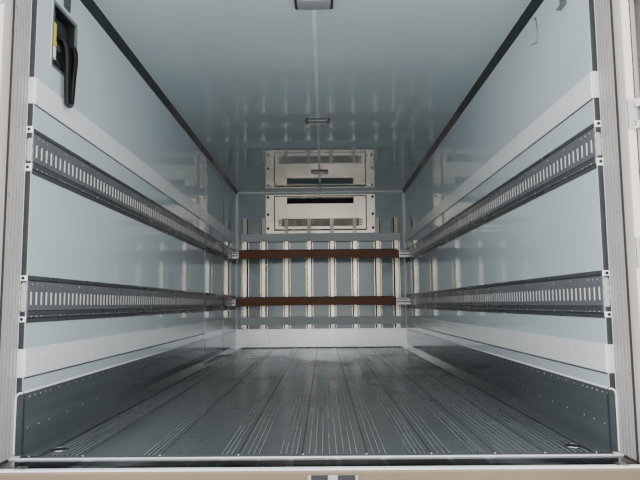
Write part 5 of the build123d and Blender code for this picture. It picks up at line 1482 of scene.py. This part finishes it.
@dataclass
class ServiceBox:
    """What the service box in the left wall holds, and the fittings near it."""

    room: Room
    mouth_y: Span = (-2.979, -2.729)
    mouth_z: Span = (1.982, 2.270)
    back: float = 1.217
    lining: float = 0.0045
    caulk: Point = (0.0105, 0.0135, 0.0120)
    screw: Span = (0.0036, 0.0015)
    clip: tuple[Point, ...] = (
        (-0.009, 0.028, 0.040), (0.001, 0.034, 0.036), (0.002, 0.058, 0.028), (0.001, 0.076, 0.016),
        (-0.009, 0.084, 0.010),
    )
    clip_wire: float = 0.0042
    hook: tuple[Point, ...] = (
        (1.1585, -2.474, 2.402), (1.1560, -2.490, 2.392), (1.1560, -2.520, 2.390), (1.1560, -2.528, 2.350),
        (1.1560, -2.533, 2.313), (1.1560, -2.528, 2.262), (1.1540, -2.515, 2.256), (1.1480, -2.484, 2.262),
        (1.1450, -2.456, 2.266),
    )
    hook_wire: float = 0.0022

    def inside(self, shape: Shape, depth: Span, y: Span, z: Span) -> Shape:
        """Adds a block in the left wall's box.

        Args:
            shape: What gets it.
            depth: How far behind the wall's face it starts and ends.
            y: Where it starts and ends, from the mouth's rear edge.
            z: Where it starts and ends, from the mouth's lower edge.

        Returns:
            The same shape.
        """
        face, rear, low = self.room.half, self.mouth_y[0], self.mouth_z[0]
        return shape.block(
            (face + depth[0], face + depth[1]), (rear + y[0], rear + y[1]), (low + z[0], low + z[1]), Side.LEFT
        )

    def build(self) -> None:
        """Makes the box's lining and what is in it."""
        (rear, front), (low, high), half = self.mouth_y, self.mouth_z, self.room.half
        wide, tall, deep = front - rear, high - low, self.back - half
        room_y, room_z = (0.0005, wide - 0.0005), (0.0005, tall - 0.0005)
        lining = self.inside(Shape(), (deep - 0.002, deep - 0.0005), room_y, room_z)
        for y in (0.0002, wide - 0.0047):
            self.inside(lining, (0.004, deep - 0.002), (y, y + self.lining), room_z)
        for z in (0.0002, tall - 0.0047):
            self.inside(lining, (0.004, deep - 0.002), (0.002, wide - 0.002), (z, z + self.lining))
        lining.done("service_box_lining", BOX_BLACK, "box")
        socket = self.inside(Shape(), (0.010, deep - 0.002), (0.004, 0.052), (0.082, tall - 0.022))
        self.inside(socket, (0.026, deep - 0.002), (0.058, wide - 0.020), (tall - 0.120, tall - 0.030))
        socket.done("socket_housing", FAN_NYLON, "case", bevel=0.003)
        plug = self.inside(Shape(), (0.002, 0.011), (0.014, 0.044), (0.126, 0.205))
        self.inside(plug, (0.003, 0.011), (0.014, 0.052), (0.099, 0.126))
        plug.done("socket_insert", PLUG_YELLOW, "lamp", bevel=0.002)
        block = self.inside(Shape(), (0.002, 0.030), (0.010, 0.046), (0.044, 0.094))
        block.done("junction_block", LINER_PVC, "white_trim", bevel=0.003)
        flap = self.inside(Shape(), (0.010, deep - 0.002), (0.004, 0.108), (0.003, 0.046))
        flap.done("socket_flap", FAN_NYLON, "case", bevel=0.005)
        line = [(x - half, rear + y, low + z) for x, y, z in self.clip]
        Shape().tube(line, [self.clip_wire] * len(line)).done("socket_flap_clip", ZINC_STEEL, "hinge")
        self.build_around()

    def build_around(self) -> None:
        """Makes the caulk and screws round the box, the two small brackets and the wire hook."""
        (rear, front), (low, high), half = self.mouth_y, self.mouth_z, self.room.half
        near, far, over = self.caulk
        rim = Shape()
        for y, z in (
            ((rear - over, front + over), (high + near, high + far)),
            ((rear - over, front + over), (low - far, low - near)),
            ((rear - far, rear - near), (low - over, high + over)),
            ((front + near, front + far), (low - over, high + over)),
        ):
            rim.block((half - 0.0022, half), y, z, Side.LEFT)
        rim.done("service_box_caulk", CAULK, "white_trim", bevel=0.0007)
        levels = (low + 0.03, (low + high) / 2, high - 0.03)
        places = [(0.003 - half, y, z) for y in (rear - 0.006, front + 0.006) for z in levels]
        screws = Shape().domes(places, Side.LEFT.inward(), self.screw)
        screws.done("service_box_screws", ZINC_STEEL, "hinge")
        plate = Shape().block((half - 0.004, half), (-2.880, -2.806), (high + 0.030, high + 0.135), Side.LEFT)
        plate.done("upper_bracket_left", FLANGE_COAT, "hinge", bevel=0.001)
        bracket = Shape().block((half - 0.003, half), (-2.915, -2.835), (2.272, 2.328))
        bracket.block((half - 0.022, half), (-2.915, -2.838), (2.272, 2.276))
        bracket.done("upper_bracket_right", RAIL_COAT, "hinge", bevel=0.001)
        Shape().tube(self.hook, [self.hook_wire] * len(self.hook)).done("wire_hook", ZINC_STEEL, "hinge")


@dataclass
class Doorway:
    """The threshold's bands, painted highlights, nicks and plates, and the fixings of the hinges."""

    room: Room
    half: float = 1.1855
    drop: float = 0.008
    frame_rear: float = -3.334
    plates: Span = (-1.073, 1.112)
    plate: Box = ((-0.018, 0.018), (-0.192, -0.150), (0.0, 0.006))
    gap: Flat = ((-0.027, -0.0005), (-0.001, 0.0006))
    rib_highlight: Flat = ((-0.0385, -0.0300), (0.0006, 0.0066))
    band: Flat = ((-0.1350, -0.0390), (-0.001, 0.0008))
    band_foot: float = -0.001
    cup: Flat = ((-0.0064, -0.0050), (-0.053, -0.0250))
    nick: Span = (0.0060, 0.0030)
    nick_pitch: float = 0.205
    keepers: tuple[Span, ...] = ((-0.014, 0.047), (0.079, 0.147))
    folds: tuple[Span, ...] = ((-0.1350, 0.0008), (-0.1470, 0.0038), (-0.1740, 0.0024))
    nose_highlight: tuple[Span, ...] = (
        (-0.1745, -0.001), (-0.1745, 0.0026), (-0.1920, 0.0018), (-0.1980, 0.0002), (-0.2025, -0.0030),
        (-0.1980, -0.004),
    )
    bolt_x: float = 1.214
    bolt: tuple[Span, ...] = ((0.0085, 0.0), (0.0085, 0.003), (0.0062, 0.0045))
    bolt_spread: float = 0.035
    hinge_z: tuple[float, ...] = (0.234, 0.761, 1.288, 1.815)

    def build(self) -> None:
        """Makes the pieces on the threshold and the posts."""
        rear, floor, wide = self.room.rear, self.room.floor, (-self.half, self.half)
        tread, frame_rear = floor - self.drop, self.frame_rear
        plates = Shape()
        for x in self.plates:
            plates.block(*spans_from((x, rear, tread), self.plate))
        plates.done("sill_plates", ZINC_STEEL, "hinge", bevel=0.0012)
        gap = Shape().block(wide, *spans_from((rear, tread), self.gap))
        gap.done("sill_gap", BLACK_RUBBER_AND_PAINTED_SHADE, "seal")
        # The white strip on the threshold's rib is a painted highlight.
        cap = Shape().block(wide, *spans_from((rear, tread), self.rib_highlight))
        cap.done("sill_rib_painted_highlight", WHITE_PAINT_AND_SILL_HIGHLIGHT, "white_trim", bevel=0.0012)
        along = [x + 0.011 * (i % 3) for i, x in enumerate(steps(-1.16, 1.17, self.nick_pitch))]
        spots = [(x, rear - 0.045, tread + 0.0006) for x in along]
        Shape().domes(spots, UP, self.nick).done("sill_rib_nicks", RIVET_ALU, "hinge")
        # The tread's light patches are painted reflections.
        band = Shape().block(wide, *spans_from((rear, tread), self.band))
        for near, far in zip(self.folds, self.folds[1:]):
            outline = [(near[0], self.band_foot), near, far, (far[0], self.band_foot)]
            band.prism([(rear + y, tread + z) for y, z in outline], Axis.X, *wide)
        band.done("sill_tread_band", TREAD_CHROME_PAINTED_REFLECTIONS, "sill_steel")
        # The white strip along the threshold's nose is a painted highlight.
        nose_highlight = Shape().prism([(rear + y, tread + z) for y, z in self.nose_highlight], Axis.X, *wide)
        nose_highlight.done("sill_nose_painted_highlight", WHITE_PAINT_AND_SILL_HIGHLIGHT, "white_trim")
        cups = Shape()
        for x in self.keepers:
            cups.block(x, *spans_from((frame_rear, floor), self.cup))
        cups.done("keeper_cups", RIVET_DARK, "hinge")
        bolts = Shape()
        for side in Side:
            for z in (at for level in self.hinge_z for at in about(floor + level, self.bolt_spread)):
                bolts.turned((side.value * self.bolt_x, frame_rear - 0.006, z), TO_REAR, self.bolt, sides=12)
        bolts.done("hinge_base_bolts", HINGE_STEEL, "hinge")


@dataclass
class Outside:
    """Rivets along the edge extrusions, the side door's seal and the condenser case's louvres and seam."""

    room: Room
    edge: float = 1.248
    rivet: Span = (0.0052, 0.0020)
    rivet_levels: Span = (2.428, 0.268)
    rivet_pitch: Span = (0.15, 0.2)
    seal: Span = (1.245, 1.2462)
    seal_gap: Span = (0.007, 0.015)
    door_z: Span = (0.336, 2.384)
    case_side: float = 0.880
    case_y: Span = (3.040, 3.310)
    case_z: Span = (1.860, 2.110)
    case_seam: float = 2.215
    louvre_pitch: float = 0.028
    louvre: tuple[Span, ...] = ((-0.002, 0.0), (0.0005, 0.0), (0.0035, 0.003), (0.0005, 0.014), (-0.002, 0.014))

    def build(self) -> None:
        """Makes the pieces outside."""
        rear, front = self.room.rear, self.room.front
        along = steps(rear + 0.06, front - 0.04, self.rivet_pitch[0])
        places = [(y, z) for y in along for z in self.rivet_levels]
        places += [(front + 0.020, z) for z in steps(0.36, 2.36, self.rivet_pitch[1])]
        rivets = Shape()
        for side in Side:
            rivets.domes([(side.value * self.edge, y, z) for y, z in places], (side.value, 0, 0), self.rivet)
        rivets.done("edge_rivets", RIVET_ALU, "hinge")
        (start, end), (low, high), (near, far) = self.room.door_y, self.door_z, self.seal_gap
        seal = Shape()
        for z in ((low - far, low - near), (high + near, high + far)):
            seal.block(self.seal, (start - far, end - 0.05), z, Side.LEFT)
        seal.block(self.seal, (start - far, start - near), (low - near, high + near), Side.LEFT)
        seal.done("side_door_outer_seal", BLACK_RUBBER_AND_PAINTED_SHADE, "seal")
        louvres, side_x, seam = Shape(), self.case_side, self.case_seam
        for side in Side:
            for z in steps(*self.case_z, self.louvre_pitch):
                louvres.wall_prism(side, (side_x, z), self.louvre, self.case_y)
        line = Shape().pair((side_x - 0.002, side_x + 0.0004), self.case_y, (seam, seam + 0.003))
        louvres.done("condenser_louvres", CASE_ABS, "case")
        line.done("condenser_seam", BLACK_RUBBER_AND_PAINTED_SHADE, "seal")


def main() -> None:
    """Builds the studio and the pieces in order."""
    Viewpoint().build()
    ConduitLoop().build()
    Studio().build()
    dress_cad_nodes()
    room = Room()
    inner = (Planks, KickPlates, BumperBands, LashingRails, Ceiling, Rack, LoadBars, SideDoorLines)
    pieces = [WallEnds(room), Jamb(), *(kind(room) for kind in inner)]
    pieces += [Evaporator(), ServiceBox(room), Doorway(room), Outside(room)]
    for piece in pieces:
        log.info("making %s", type(piece).__name__)
        piece.build()


if __name__ == "__main__":
    logging.basicConfig(level=logging.INFO, format="%(name)s: %(message)s")
    main()
